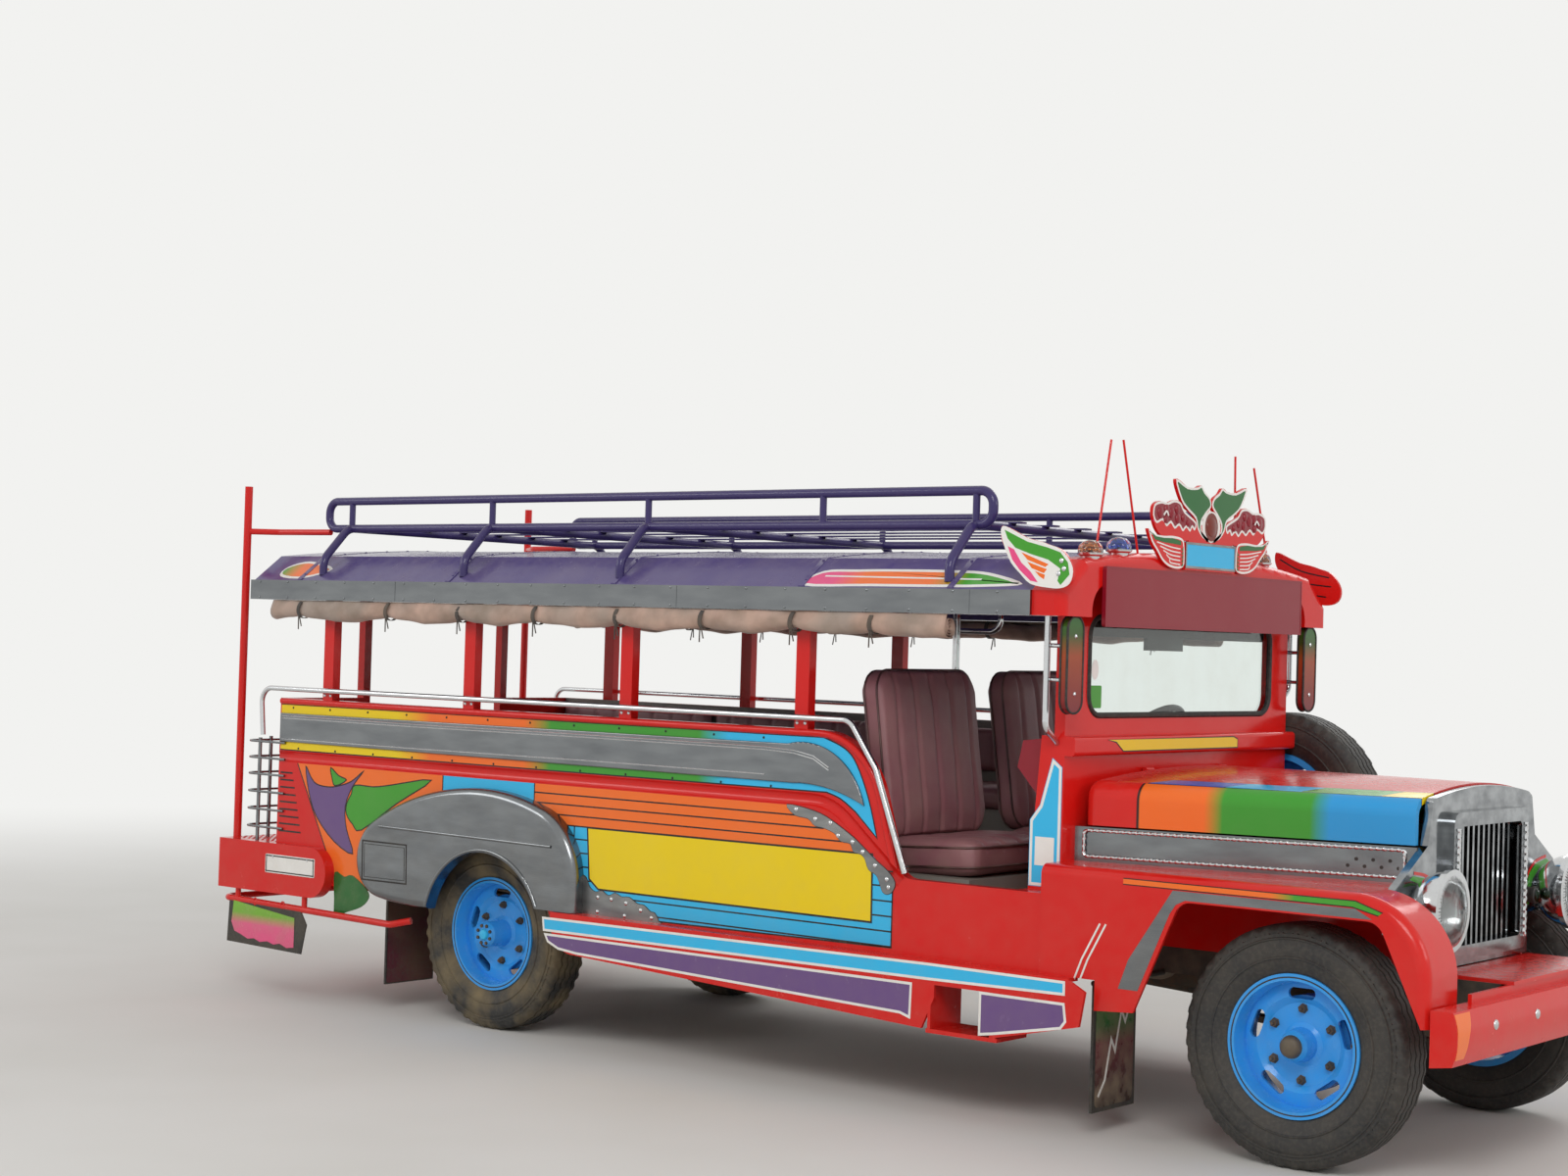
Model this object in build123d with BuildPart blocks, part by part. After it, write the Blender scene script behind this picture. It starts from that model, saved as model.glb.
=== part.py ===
from build123d import *
from math import asin, atan2, cos, sin, tan
import os

os.makedirs("parts", exist_ok=True)

# Open-sided passenger minibus on a light truck frame, in millimetres
# +X points forward, +Y to the left, +Z up, and the wheels stand on Z = 0

# driving lengths along the vehicle
wheelbase = 3515
rear_overhang = 1560
front_overhang = 585
body_tail = 1230        # rear axle back to the body's rear edge
roof_tail = 1340        # rear axle back to the roof's rear edge
dash_to_axle = 855      # front face of the scuttle back from the front axle
grille_ahead = 245      # back of the grille panel ahead of the front axle
door_gap = 410          # open cab doorway ahead of the belt's foot
cowl_side_length = 130

# driving heights
tyre_radius = 378
frame_top = 590
frame_depth = 90
wall_bottom = 500
sill_z = 780
belt_z = 1272
roof_edge_z = 1690
fascia_height = 83
roof_crown = 157        # crown above the top of the fascia
fender_top = 880
hood_edge_z = 1150

# driving half widths
wall_y = 880
roof_y = 940
skirt_y = 950
cowl_y = 780
rail_y = 390

# stock thicknesses and clearances
wall = 40
sheet = 20
plate = 12
floor_thick = 30
gap = 6                 # between a moving piece and its neighbours
pin_play = 0.5          # radial play of a pin in its bore

# wheels and steering
tyre_width = 190
rim_radius = 224
wheel_y = 705
kingpin_y = 560
kingpin_radius = 16
kingpin_length = 150
stub_radius = 24
stub_out = 40           # stub axle's end beyond the wheel's centre plane
hub_radius = 62
drum_radius = 150
steer_arm = 150
tie_rod_radius = 13
steering_wheel_radius = 200

rear_axle_x = (rear_overhang - wheelbase - front_overhang) / 2
front_axle_x = rear_axle_x + wheelbase
body_rear_x = rear_axle_x - body_tail
roof_rear_x = rear_axle_x - roof_tail
scuttle_x = front_axle_x - dash_to_axle
door_front_x = scuttle_x - cowl_side_length
door_rear_x = door_front_x - door_gap
grille_x = front_axle_x + grille_ahead
wheel_z = tyre_radius
frame_bottom = frame_top - frame_depth
floor_z = frame_top + floor_thick
inner_y = wall_y - wall
fascia_z = roof_edge_z + fascia_height
crown_z = fascia_z + roof_crown

sides = (-1, 1)


def finish(part, name):
    part.label = name
    export_step(part, f"parts/{name}.step")


def upright(y=0):
    # plane whose first direction is +X and second is +Z, at a given Y
    return Plane(origin=(0, y, 0), x_dir=(1, 0, 0), z_dir=(0, -1, 0))


def across(x):
    # plane whose first direction is +Y and second is +Z, at a given X
    return Plane(origin=(x, 0, 0), x_dir=(0, 1, 0), z_dir=(1, 0, 0))


def axle_plane(x, y, z, side):
    # first direction points outward along the axle, second straight up
    return Plane(origin=(x, y, z), x_dir=(0, side, 0), z_dir=(side, 0, 0))


def face_plane(x, y, z, side):
    # plane across the axle, whose normal points outward
    return Plane(origin=(x, y, z), x_dir=(1, 0, 0), z_dir=(0, side, 0))


# Frame, axles and drive

rail_width = 60
rail_web = 8
frame_front_x = front_axle_x + 500
frame_rear_x = body_rear_x - 10
# crossmember: place ahead of the rear axle, top below the frame's top
crossmembers = [-1150, -480, 620, 1480, 1960]
crossmember_width = 70
crossmember_depth = 55

with BuildPart() as chassis_frame:
    with BuildSketch(across(frame_rear_x)):
        with Locations((rail_y - rail_width / 2, frame_top - frame_depth / 2)):
            Rectangle(rail_width, frame_depth)
        with Locations((rail_y - rail_width / 2 - rail_web, frame_top - frame_depth / 2)):
            Rectangle(rail_width, frame_depth - 2 * rail_web, mode=Mode.SUBTRACT)
    extrude(amount=frame_front_x - frame_rear_x)
    mirror(about=Plane.XZ)
    for place in crossmembers + [frame_front_x - rear_axle_x - crossmember_width / 2]:
        with Locations((rear_axle_x + place, 0, frame_top - rail_web - crossmember_depth / 2)):
            Box(crossmember_width, 2 * (rail_y - rail_web), crossmember_depth)
finish(chassis_frame.part, "chassis_frame")

engine_front_x = front_axle_x - 50
engine_rear_x = scuttle_x + 60
gearbox_rear_x = scuttle_x - 480
gearbox_z = 480
engine_low_z = 430
engine_width = 380
engine_tall = 560
engine_taper = 4
gearbox_tail_radius = 70
bell_radius = 100
with BuildPart() as engine_block:
    with BuildSketch(Plane.XY.offset(engine_low_z)):
        with Locations(((engine_front_x + engine_rear_x) / 2, 0)):
            Rectangle(engine_front_x - engine_rear_x, engine_width)
    extrude(amount=engine_tall, taper=engine_taper)
    with BuildSketch(across(gearbox_rear_x)):
        with Locations((0, gearbox_z)):
            Circle(gearbox_tail_radius)
    with BuildSketch(across(engine_rear_x + 20)):
        with Locations((0, gearbox_z)):
            Circle(bell_radius)
    loft()
finish(engine_block.part, "engine_block")

diff_radius = 135
axle_tube_radius = 48
diff_half = 115         # half width of the differential's casting
diff_flank = 58
pinion_radius = 48
pinion_length = 150
backing_thick = 8
backing_y = 612
with BuildPart() as rear_axle:
    with BuildSketch(upright(backing_y)):
        with Locations((rear_axle_x, wheel_z)):
            Circle(axle_tube_radius)
    extrude(amount=2 * backing_y)
    with BuildSketch(axle_plane(rear_axle_x, 0, wheel_z, 1)):
        with BuildLine():
            Polyline(
                (-diff_half, 0), (-diff_half, diff_flank), (-diff_half / 2, diff_radius),
                (diff_half / 2, diff_radius), (diff_half, diff_flank), (diff_half, 0), close=True,
            )
        make_face()
    revolve(axis=Axis((rear_axle_x, 0, wheel_z), (0, 1, 0)))
    with Locations((rear_axle_x + diff_radius + 20, 0, wheel_z)):
        Cylinder(pinion_radius, pinion_length, rotation=(0, 90, 0))
    for side in sides:
        with Locations((rear_axle_x, side * (backing_y - backing_thick / 2), wheel_z)):
            Cylinder(drum_radius, backing_thick, rotation=(90, 0, 0))
        with BuildSketch(face_plane(rear_axle_x, side * backing_y, wheel_z, side)):
            Circle(stub_radius)
        extrude(amount=wheel_y + stub_out - backing_y)
finish(rear_axle.part, "rear_axle")

shaft_front_x = gearbox_rear_x
shaft_rear_x = rear_axle_x + diff_radius + 95
shaft_radius = 34
with BuildPart() as drive_shaft:
    with BuildLine() as shaft_line:
        Line((shaft_rear_x, 0, wheel_z), (shaft_front_x, 0, gearbox_z))
    with BuildSketch(Plane(origin=shaft_line.line @ 0, z_dir=shaft_line.line % 0)):
        Circle(shaft_radius)
    sweep()
    add(engine_block.part, mode=Mode.SUBTRACT)
    add(rear_axle.part, mode=Mode.SUBTRACT)
finish(drive_shaft.part, "drive_shaft")

knuckle_z = wheel_z
eye_half = 34           # half height of the beam's kingpin eyes
eye_radius = 36
beam_half = kingpin_y + 26
beam_neck = kingpin_y - 55
beam_drop = 400         # where the dropped middle of the beam starts
beam_sunk = 100
beam_web = 30
with BuildPart() as front_axle:
    with BuildSketch(Plane(origin=(front_axle_x, 0, 0), x_dir=(0, 1, 0), z_dir=(1, 0, 0))):
        with BuildLine():
            Polyline(
                (-beam_half, knuckle_z - eye_half), (-beam_neck, knuckle_z - eye_half),
                (-beam_drop, knuckle_z - beam_sunk), (beam_drop, knuckle_z - beam_sunk),
                (beam_neck, knuckle_z - eye_half), (beam_half, knuckle_z - eye_half),
                (beam_half, knuckle_z + eye_half), (beam_neck, knuckle_z + eye_half),
                (beam_drop + 20, knuckle_z - eye_radius), (-beam_drop - 20, knuckle_z - eye_radius),
                (-beam_neck, knuckle_z + eye_half), (-beam_half, knuckle_z + eye_half), close=True,
            )
        make_face()
    extrude(amount=beam_web, both=True)
    for side in sides:
        with Locations((front_axle_x, side * kingpin_y, knuckle_z)):
            Cylinder(eye_radius, 2 * eye_half)
            Cylinder(kingpin_radius, kingpin_length)
finish(front_axle.part, "front_axle")

spring_y = rail_y - rail_width / 2
spring_radius = 6000
leaf = 11
leaf_width = 56
leaf_shares = (0.38, 0.62, 0.83, 1)
# axle place, height of the pack's underside at the axle, half length of the main leaf
spring_table = [
    (rear_axle_x, wheel_z + axle_tube_radius, 520),
    (front_axle_x, knuckle_z - eye_radius, 440),
]
hanger_foot = 24
hanger_head = 40
with BuildPart() as leaf_springs:
    for spring_x, under_z, spring_half in spring_table:
        for number, share in enumerate(leaf_shares):
            half = share * spring_half
            inner = spring_radius - (number + 1) * leaf
            outer = inner + leaf
            with BuildSketch(upright(-spring_y + leaf_width / 2)):
                with BuildLine():
                    lean = half / spring_radius
                    centre_z = under_z + spring_radius
                    ends = [(spring_x + s * r * sin(lean), centre_z - r * cos(lean)) for s, r in
                            ((-1, outer), (1, outer), (1, inner), (-1, inner))]
                    ThreePointArc(ends[0], (spring_x, centre_z - outer), ends[1])
                    Line(ends[1], ends[2])
                    ThreePointArc(ends[2], (spring_x, centre_z - inner), ends[3])
                    Line(ends[3], ends[0])
                make_face()
            extrude(amount=leaf_width)
        eye_z = under_z + len(leaf_shares) * leaf + spring_radius * (1 - cos(spring_half / spring_radius))
        for s in sides:
            hanger_x = spring_x + s * spring_half
            with BuildSketch(upright(-spring_y + leaf_width / 2)):
                with BuildLine():
                    Polyline(
                        (hanger_x - hanger_foot, eye_z - hanger_foot),
                        (hanger_x + hanger_foot, eye_z - hanger_foot),
                        (hanger_x + hanger_head, frame_bottom),
                        (hanger_x - hanger_head, frame_bottom), close=True,
                    )
                make_face()
            extrude(amount=leaf_width)
    mirror(about=Plane.XZ)
finish(leaf_springs.part, "leaf_springs")

exhaust_y = -235
exhaust_z = 476
muffler_x = rear_axle_x + 1050
muffler_length = 480
muffler_drop = 60       # the muffler's centre hangs this far below the pipe
exhaust_radius = 24
manifold = (engine_rear_x + 120, -195, exhaust_z + 90)
with BuildPart() as exhaust_pipe:
    with BuildLine():
        FilletPolyline(
            manifold, (engine_rear_x + 40, exhaust_y - 20, exhaust_z),
            (muffler_x, exhaust_y, exhaust_z), (body_rear_x + 30, exhaust_y, exhaust_z), radius=60,
        )
    with BuildSketch(Plane(origin=manifold, z_dir=(-80, exhaust_y + 175, -90))):
        Circle(exhaust_radius)
    sweep()
    with BuildSketch(across(muffler_x - muffler_length)):
        with Locations((exhaust_y, exhaust_z - muffler_drop)):
            Ellipse(85, 70)
    extrude(amount=muffler_length)
    add(engine_block.part, mode=Mode.SUBTRACT)
finish(exhaust_pipe.part, "exhaust_pipe")

tank_x = rear_axle_x + 1400
tank_length = 600
tank_width = 370
tank_depth = 220
tank_corner = 60
tank_z = 475
with BuildPart() as fuel_tank:
    with BuildSketch(across(tank_x - tank_length / 2)):
        with Locations((rail_y + tank_width / 2 + 5, tank_z)):
            RectangleRounded(tank_width, tank_depth, tank_corner)
    extrude(amount=tank_length)
finish(fuel_tank.part, "fuel_tank")

radiator_x = grille_x - 90
core_low_z = 590
core_high_z = 1030
core_width = 520
core_thick = 60
header_tank = 40
with BuildPart() as radiator:
    with Locations((radiator_x, 0, (core_low_z + core_high_z) / 2)):
        Box(core_thick, core_width, core_high_z - core_low_z)
    with Locations((radiator_x, 0, core_high_z - 10 + header_tank / 2)):
        Box(core_thick + 24, core_width + header_tank, header_tank)
finish(radiator.part, "radiator")

# Floor with its wheel wells

swoop_x = door_rear_x - 440     # where the belt starts to turn down behind the doorway
tread_half = 340        # aisle tread plate laid on the floor
tread_thick = 6
tread_margin = 70
well_half = 450
well_inner_y = 585
well_top = 850
spare_x = scuttle_x - 40
spare_y = 880
spare_z = 985
spare_cut = tyre_radius + gap
with BuildPart() as floor_pan:
    with BuildSketch(Plane.XY.offset(frame_top)):
        with Locations(((body_rear_x + scuttle_x) / 2 + wall / 2, 0)):
            Rectangle(scuttle_x - body_rear_x - wall, 2 * inner_y)
    extrude(amount=floor_thick)
    for side in sides:
        with Locations((rear_axle_x, side * (well_inner_y + inner_y) / 2, (frame_top + well_top) / 2)):
            Box(2 * well_half, inner_y - well_inner_y, well_top - frame_top)
    for side in sides:
        hollow_y = side * (well_inner_y + sheet + inner_y) / 2
        with Locations((rear_axle_x, hollow_y, (frame_top + well_top - sheet) / 2)):
            Box(2 * (well_half - sheet), inner_y - well_inner_y - sheet, well_top - sheet - frame_top,
                mode=Mode.SUBTRACT)
    with Locations(((body_rear_x + swoop_x) / 2, 0, floor_z + tread_thick / 2)):
        Box(swoop_x - body_rear_x - 2 * tread_margin, 2 * tread_half, tread_thick)
    with Locations((spare_x, spare_y, spare_z)):
        Cylinder(spare_cut, 200, rotation=(90, 0, 0), mode=Mode.SUBTRACT)
finish(floor_pan.part, "floor_pan")

# Body sides, posts and rear walls

arch_radius = 430
shoulder_x = door_rear_x - 191      # corner of the belt line before rounding
fall_foot_x = door_rear_x - 44
shoulder_radius = 300
foot_radius = 70
bead_radius = 13        # rolled edge along the belt
band_relief = 9
band_edge = 4
band_low_z = 1086
band_high_z = 1208
band_tip = (door_rear_x - 204, 1017)
groove_tool = 26
groove_out = 12         # the groove tool's centre stands this far outside the surface
groove_z = 1024
groove_radius = 250
corner_round = 24
# half of the angle that the belt turns through at its shoulder
half_turn = atan2(belt_z - sill_z, fall_foot_x - shoulder_x) / 2
with BuildPart() as side_walls:
    with BuildSketch(upright(-inner_y)):
        with BuildLine():
            rear_edge = Line((body_rear_x, wall_bottom), (body_rear_x, belt_z))
            belt = FilletPolyline(
                rear_edge @ 1, (shoulder_x, belt_z), (fall_foot_x, sill_z), (scuttle_x, sill_z),
                radius=(shoulder_radius, foot_radius),
            )
            nose = Line(belt @ 1, (scuttle_x, wall_bottom))
            Line(nose @ 1, rear_edge @ 0)
        make_face()
        with Locations((rear_axle_x, wheel_z)):
            Circle(arch_radius, mode=Mode.SUBTRACT)
    extrude(amount=wall)
    fillet(side_walls.edges().filter_by(Axis.Z).group_by(Axis.X)[0].sort_by(Axis.Y)[0], radius=corner_round)
    with BuildSketch(upright(-wall_y)):
        with BuildLine():
            band_end = Line((body_rear_x + corner_round, band_low_z), (body_rear_x + corner_round, band_high_z))
            band_top = Line(band_end @ 1, (swoop_x - 110, band_high_z + 9))
            band_brow = ThreePointArc(band_top @ 1, (door_rear_x - 330, 1184), band_tip)
            band_lip = ThreePointArc(band_brow @ 1, (door_rear_x - 350, band_low_z - 21),
                                     (swoop_x - 90, band_low_z - 8))
            Line(band_lip @ 1, band_end @ 0)
        make_face()
    band = extrude(amount=band_relief)
    fillet(band.faces().sort_by(Axis.Y)[0].edges(), radius=band_edge)
    with BuildLine() as bead_route:
        FilletPolyline(
            (body_rear_x + corner_round, -wall_y, belt_z - bead_radius),
            (shoulder_x - bead_radius * tan(half_turn), -wall_y, belt_z - bead_radius),
            (fall_foot_x - bead_radius * sin(2 * half_turn), -wall_y,
             sill_z - bead_radius * cos(2 * half_turn)),
            radius=shoulder_radius - bead_radius,
        )
    with BuildSketch(Plane(origin=bead_route.line @ 0, z_dir=bead_route.line % 0)):
        Circle(bead_radius)
    sweep()
    with BuildLine() as groove_route:
        FilletPolyline(
            (body_rear_x - groove_tool, -wall_y - groove_out, groove_z),
            (door_rear_x - 350, -wall_y - groove_out, groove_z),
            (door_rear_x - 40, -wall_y - groove_out, sill_z - 12), radius=groove_radius,
        )
    with BuildSketch(Plane(origin=groove_route.line @ 0, z_dir=groove_route.line % 0)):
        Circle(groove_tool)
    sweep(mode=Mode.SUBTRACT)
    mirror(about=Plane.XZ)
    with Locations((spare_x, spare_y, spare_z)):
        Cylinder(spare_cut, 220, rotation=(90, 0, 0), mode=Mode.SUBTRACT)
finish(side_walls.part, "side_walls")

post_width = 60
first_post_x = body_rear_x + 315
last_post_x = swoop_x - 57
post_count = 4
post_pitch = (last_post_x - first_post_x) / (post_count - 1)
with BuildPart() as side_posts:
    for number in range(post_count):
        post_x = first_post_x + number * post_pitch
        for side in sides:
            with Locations((post_x, side * (wall_y - wall / 2), (belt_z + roof_edge_z) / 2)):
                Box(post_width, wall, roof_edge_z - belt_z)
finish(side_posts.part, "side_posts")

entry_half = 400
rear_post = 40
rear_post_rise = 130    # how far it runs up behind the roof's fascia
with BuildPart() as rear_walls:
    with BuildSketch(Plane.XY.offset(wall_bottom)):
        with Locations((body_rear_x + wall / 2, (entry_half + inner_y) / 2)):
            Rectangle(wall, inner_y - entry_half)
    extrude(amount=belt_z - wall_bottom)
    with BuildSketch(Plane.XY.offset(wall_bottom)):
        with Locations((body_rear_x + rear_post / 2, entry_half + rear_post / 2)):
            Rectangle(rear_post, rear_post)
    extrude(amount=roof_edge_z + rear_post_rise - wall_bottom)
    mirror(about=Plane.XZ)
finish(rear_walls.part, "rear_walls")

# Roof

roof_beam_y = inner_y - 10
shoulder_y = 800
shoulder_z = 1880
roof_thick = 40


def roof_outline(drop, low_z, half):
    # upper edge of the roof's section, lowered by drop, closed at low_z
    with BuildLine() as outline:
        left = Line((-half, low_z), (-half, fascia_z - drop))
        rise = Line(left @ 1, (-shoulder_y + drop * 0.4, shoulder_z - drop))
        top = ThreePointArc(rise @ 1, (0, crown_z - drop), (shoulder_y - drop * 0.4, shoulder_z - drop))
        fall = Line(top @ 1, (half, fascia_z - drop))
        right = Line(fall @ 1, (half, low_z))
        Line(right @ 1, left @ 0)
    return outline.line


roof_outer = roof_outline(0, roof_edge_z, roof_y)
roof_inner = roof_outline(roof_thick, roof_edge_z - 1, roof_beam_y)
roof_length = scuttle_x - wall - roof_rear_x
with BuildPart() as roof_shell:
    with BuildSketch(across(roof_rear_x)):
        add(make_face(roof_outer, mode=Mode.PRIVATE))
        add(make_face(roof_inner, mode=Mode.PRIVATE), mode=Mode.SUBTRACT)
    extrude(amount=roof_length)
finish(roof_shell.part, "roof_shell")

with BuildPart() as roof_fascia:
    with BuildSketch(Plane.XY.offset(roof_edge_z)):
        with Locations(((roof_rear_x + scuttle_x - wall - plate) / 2, 0)):
            Rectangle(roof_length + plate, 2 * (roof_y + plate))
            with Locations((plate / 2, 0)):
                Rectangle(roof_length, 2 * roof_y, mode=Mode.SUBTRACT)
    extrude(amount=fascia_height)
finish(roof_fascia.part, "roof_fascia")

rack_y = 750
rack_low_z = 2000
rack_top_z = 2116
rack_tube = 17
rack_corner = 50
hoop_corner = 80
hoop_leg = 60
rack_rear_x = rear_axle_x - 1090
rack_front_x = scuttle_x - 330
stanchion_foot_y = 900
slat_rows = 6           # flat bars of the rack's deck
slat_width = 40
slat_thick = 6
foot_z = fascia_z + (roof_y - stanchion_foot_y) * (shoulder_z - fascia_z) / (roof_y - shoulder_y)
with BuildPart() as roof_rack:
    for side in sides:
        with BuildLine():
            FilletPolyline(
                (rack_rear_x, side * rack_y, rack_low_z), (rack_front_x, side * rack_y, rack_low_z),
                (rack_front_x, side * rack_y, rack_top_z), (rack_rear_x, side * rack_y, rack_top_z),
                radius=rack_corner, close=True,
            )
        rail_middle = ((rack_rear_x + rack_front_x) / 2, side * rack_y, rack_low_z)
        with BuildSketch(Plane(origin=rail_middle, z_dir=(1, 0, 0))):
            Circle(rack_tube)
        sweep()
    for number in range(post_count + 1):
        hoop_x = first_post_x - 30 + number * post_pitch
        if number == post_count:
            hoop_x = rack_front_x - 70
        with BuildLine():
            FilletPolyline(
                (hoop_x, -stanchion_foot_y, foot_z - 6), (hoop_x, -stanchion_foot_y, foot_z + hoop_leg),
                (hoop_x, -rack_y - 20, rack_low_z), (hoop_x, rack_y + 20, rack_low_z),
                (hoop_x, stanchion_foot_y, foot_z + hoop_leg), (hoop_x, stanchion_foot_y, foot_z - 6),
                radius=hoop_corner,
            )
        with BuildSketch(Plane(origin=(hoop_x, -stanchion_foot_y, foot_z - 6), z_dir=(0, 0, 1))):
            Circle(rack_tube)
        sweep()
        for side in sides:
            with Locations((hoop_x, side * rack_y, (rack_low_z + rack_top_z) / 2)):
                Cylinder(rack_tube - 4, rack_top_z - rack_low_z)
    for number in range(slat_rows):
        slat_y = (number - (slat_rows - 1) / 2) * 2 * rack_y / (slat_rows + 1)
        with Locations(((rack_rear_x + rack_front_x) / 2, slat_y, rack_low_z + rack_tube)):
            Box(rack_front_x - rack_rear_x - 2 * rack_tube, slat_width, slat_thick)
    add(roof_shell.part, mode=Mode.SUBTRACT)
finish(roof_rack.part, "roof_rack")

# Rear step, guards and poles

step_rear_x = rear_axle_x - 1530
step_front_x = rear_axle_x - 835
step_low_z = 446
step_high_z = 656
box_y = 930
beam_thick = 50
tread_inset = 20
step_tube = 17
lower_tube_z = 400
lower_front_x = rear_axle_x - 370
lower_corner = 45
step_post = 12
nose_depth = 90
with BuildPart() as rear_step:
    with BuildSketch(upright(-wall_y)):
        with BuildLine():
            base = Line((step_rear_x, step_low_z), (step_front_x - nose_depth, step_low_z))
            nose = ThreePointArc(base @ 1, (step_front_x, (step_low_z + step_high_z) / 2),
                                 (step_front_x - nose_depth, step_high_z))
            top = Line(nose @ 1, (step_rear_x, step_high_z))
            Line(top @ 1, base @ 0)
        make_face()
    extrude(amount=box_y - wall_y)
    mirror(about=Plane.XZ)
    with Locations((step_rear_x + beam_thick / 2, 0, (step_low_z + step_high_z) / 2)):
        Box(beam_thick, 2 * box_y, step_high_z - step_low_z)
    with Locations(((step_rear_x + body_rear_x) / 2, 0, step_low_z + plate / 2)):
        Box(body_rear_x - step_rear_x, 2 * wall_y, plate)
    with Locations(((step_rear_x + body_rear_x) / 2, 0, step_high_z - plate / 2)):
        Box(body_rear_x - step_rear_x, 2 * wall_y, plate)
        Box(body_rear_x - step_rear_x, 2 * entry_half, plate, mode=Mode.SUBTRACT)
    with Locations(((step_rear_x + beam_thick + body_rear_x) / 2, 0, step_low_z + plate + tread_thick / 2)):
        Box(body_rear_x - step_rear_x - beam_thick - 2 * tread_inset, 2 * tread_half, tread_thick)
    with BuildLine() as lower_route:
        FilletPolyline(
            (lower_front_x, -box_y + 60, lower_tube_z),
            (lower_front_x - 80, -box_y + 20, lower_tube_z - 20),
            (step_rear_x + 20, -box_y + 20, lower_tube_z), (step_rear_x + 20, box_y - 20, lower_tube_z),
            (lower_front_x - 80, box_y - 20, lower_tube_z - 20),
            (lower_front_x, box_y - 60, lower_tube_z), radius=lower_corner,
        )
    with BuildSketch(Plane(origin=lower_route.line @ 0, z_dir=lower_route.line % 0)):
        Circle(step_tube - 3)
    sweep()
    for side in sides:
        for post_x in (step_rear_x + 110, step_front_x - 150):
            with Locations((post_x, side * (box_y - 22), (lower_tube_z + step_low_z) / 2)):
                Cylinder(step_post, step_low_z - lower_tube_z + 8)
finish(rear_step.part, "rear_step")

guard_wire = 5
guard_depth = 215
guard_stay = 8
guard_levels = (715, 790, 865, 940, 1010, 1080)
# place of each upright stay, a little inside the hoops
guard_stays = [
    (body_rear_x - guard_depth + 4, -740),
    (body_rear_x - guard_depth + 4, -560),
    (body_rear_x - 110, 4 - wall_y - guard_wire),
]
with BuildPart() as rear_guards:
    for level in guard_levels:
        with BuildLine() as hoop:
            FilletPolyline(
                (body_rear_x + 60, -wall_y - guard_wire, level),
                (body_rear_x - guard_depth, -wall_y - guard_wire, level),
                (body_rear_x - guard_depth, -entry_half - 60, level),
                (body_rear_x, -entry_half - 60, level), radius=70,
            )
        with BuildSketch(Plane(origin=hoop.line @ 0, z_dir=hoop.line % 0)):
            Circle(guard_wire)
        sweep()
    for stay_x, stay_y in guard_stays:
        with Locations((stay_x, stay_y, (step_high_z + guard_levels[-1]) / 2 + guard_stay)):
            Cylinder(guard_stay, guard_levels[-1] - step_high_z + 2 * guard_stay)
    mirror(about=Plane.XZ)
finish(rear_guards.part, "rear_guards")

pole_radius = 17
pole_x = step_rear_x + 30
pole_y = 860
pole_top_z = 2180
tie_z = 1985
with BuildPart() as rear_poles:
    for side in sides:
        with Locations((pole_x, side * pole_y, (step_high_z + pole_top_z) / 2)):
            Cylinder(pole_radius, pole_top_z - step_high_z)
        with BuildLine() as tie:
            FilletPolyline(
                (pole_x, side * pole_y, tie_z), (pole_x + 120, side * (rack_y + 30), tie_z),
                (rack_rear_x + 10, side * rack_y, tie_z), radius=60,
            )
        with BuildSketch(Plane(origin=tie.line @ 0, z_dir=tie.line % 0)):
            Circle(rack_tube - 4)
        sweep()
    add(roof_rack.part, mode=Mode.SUBTRACT)
finish(rear_poles.part, "rear_poles")

# Windshield, scuttle and visor

ledge_low_z = 1228
ledge_high_z = 1293
frame_low_z = ledge_high_z
glass_half = 646
glass_low_z = 1355
glass_high_z = 1700
glass_corner = 75
glass_thick = 6
visor_depth = 80
header_half = 760       # arched opening in the header over the windshield
header_top_z = 1800
header_radius = 90
header_round = 34
frame_x = scuttle_x - wall
with BuildPart() as windshield_frame:
    with BuildSketch(across(frame_x)):
        add(make_face(roof_outer, mode=Mode.PRIVATE))
        with Locations((0, (frame_low_z + roof_edge_z + 20) / 2)):
            Rectangle(2 * cowl_y, roof_edge_z + 20 - frame_low_z)
        with Locations((0, (glass_low_z + glass_high_z) / 2)):
            RectangleRounded(2 * glass_half, glass_high_z - glass_low_z, glass_corner, mode=Mode.SUBTRACT)
    extrude(amount=wall)
finish(windshield_frame.part, "windshield_frame")

with BuildPart() as windshield_glass:
    with BuildSketch(across(frame_x + wall / 2)):
        with Locations((0, (glass_low_z + glass_high_z) / 2)):
            RectangleRounded(2 * glass_half, glass_high_z - glass_low_z, glass_corner)
    extrude(amount=glass_thick)
finish(windshield_glass.part, "windshield_glass")

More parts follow.
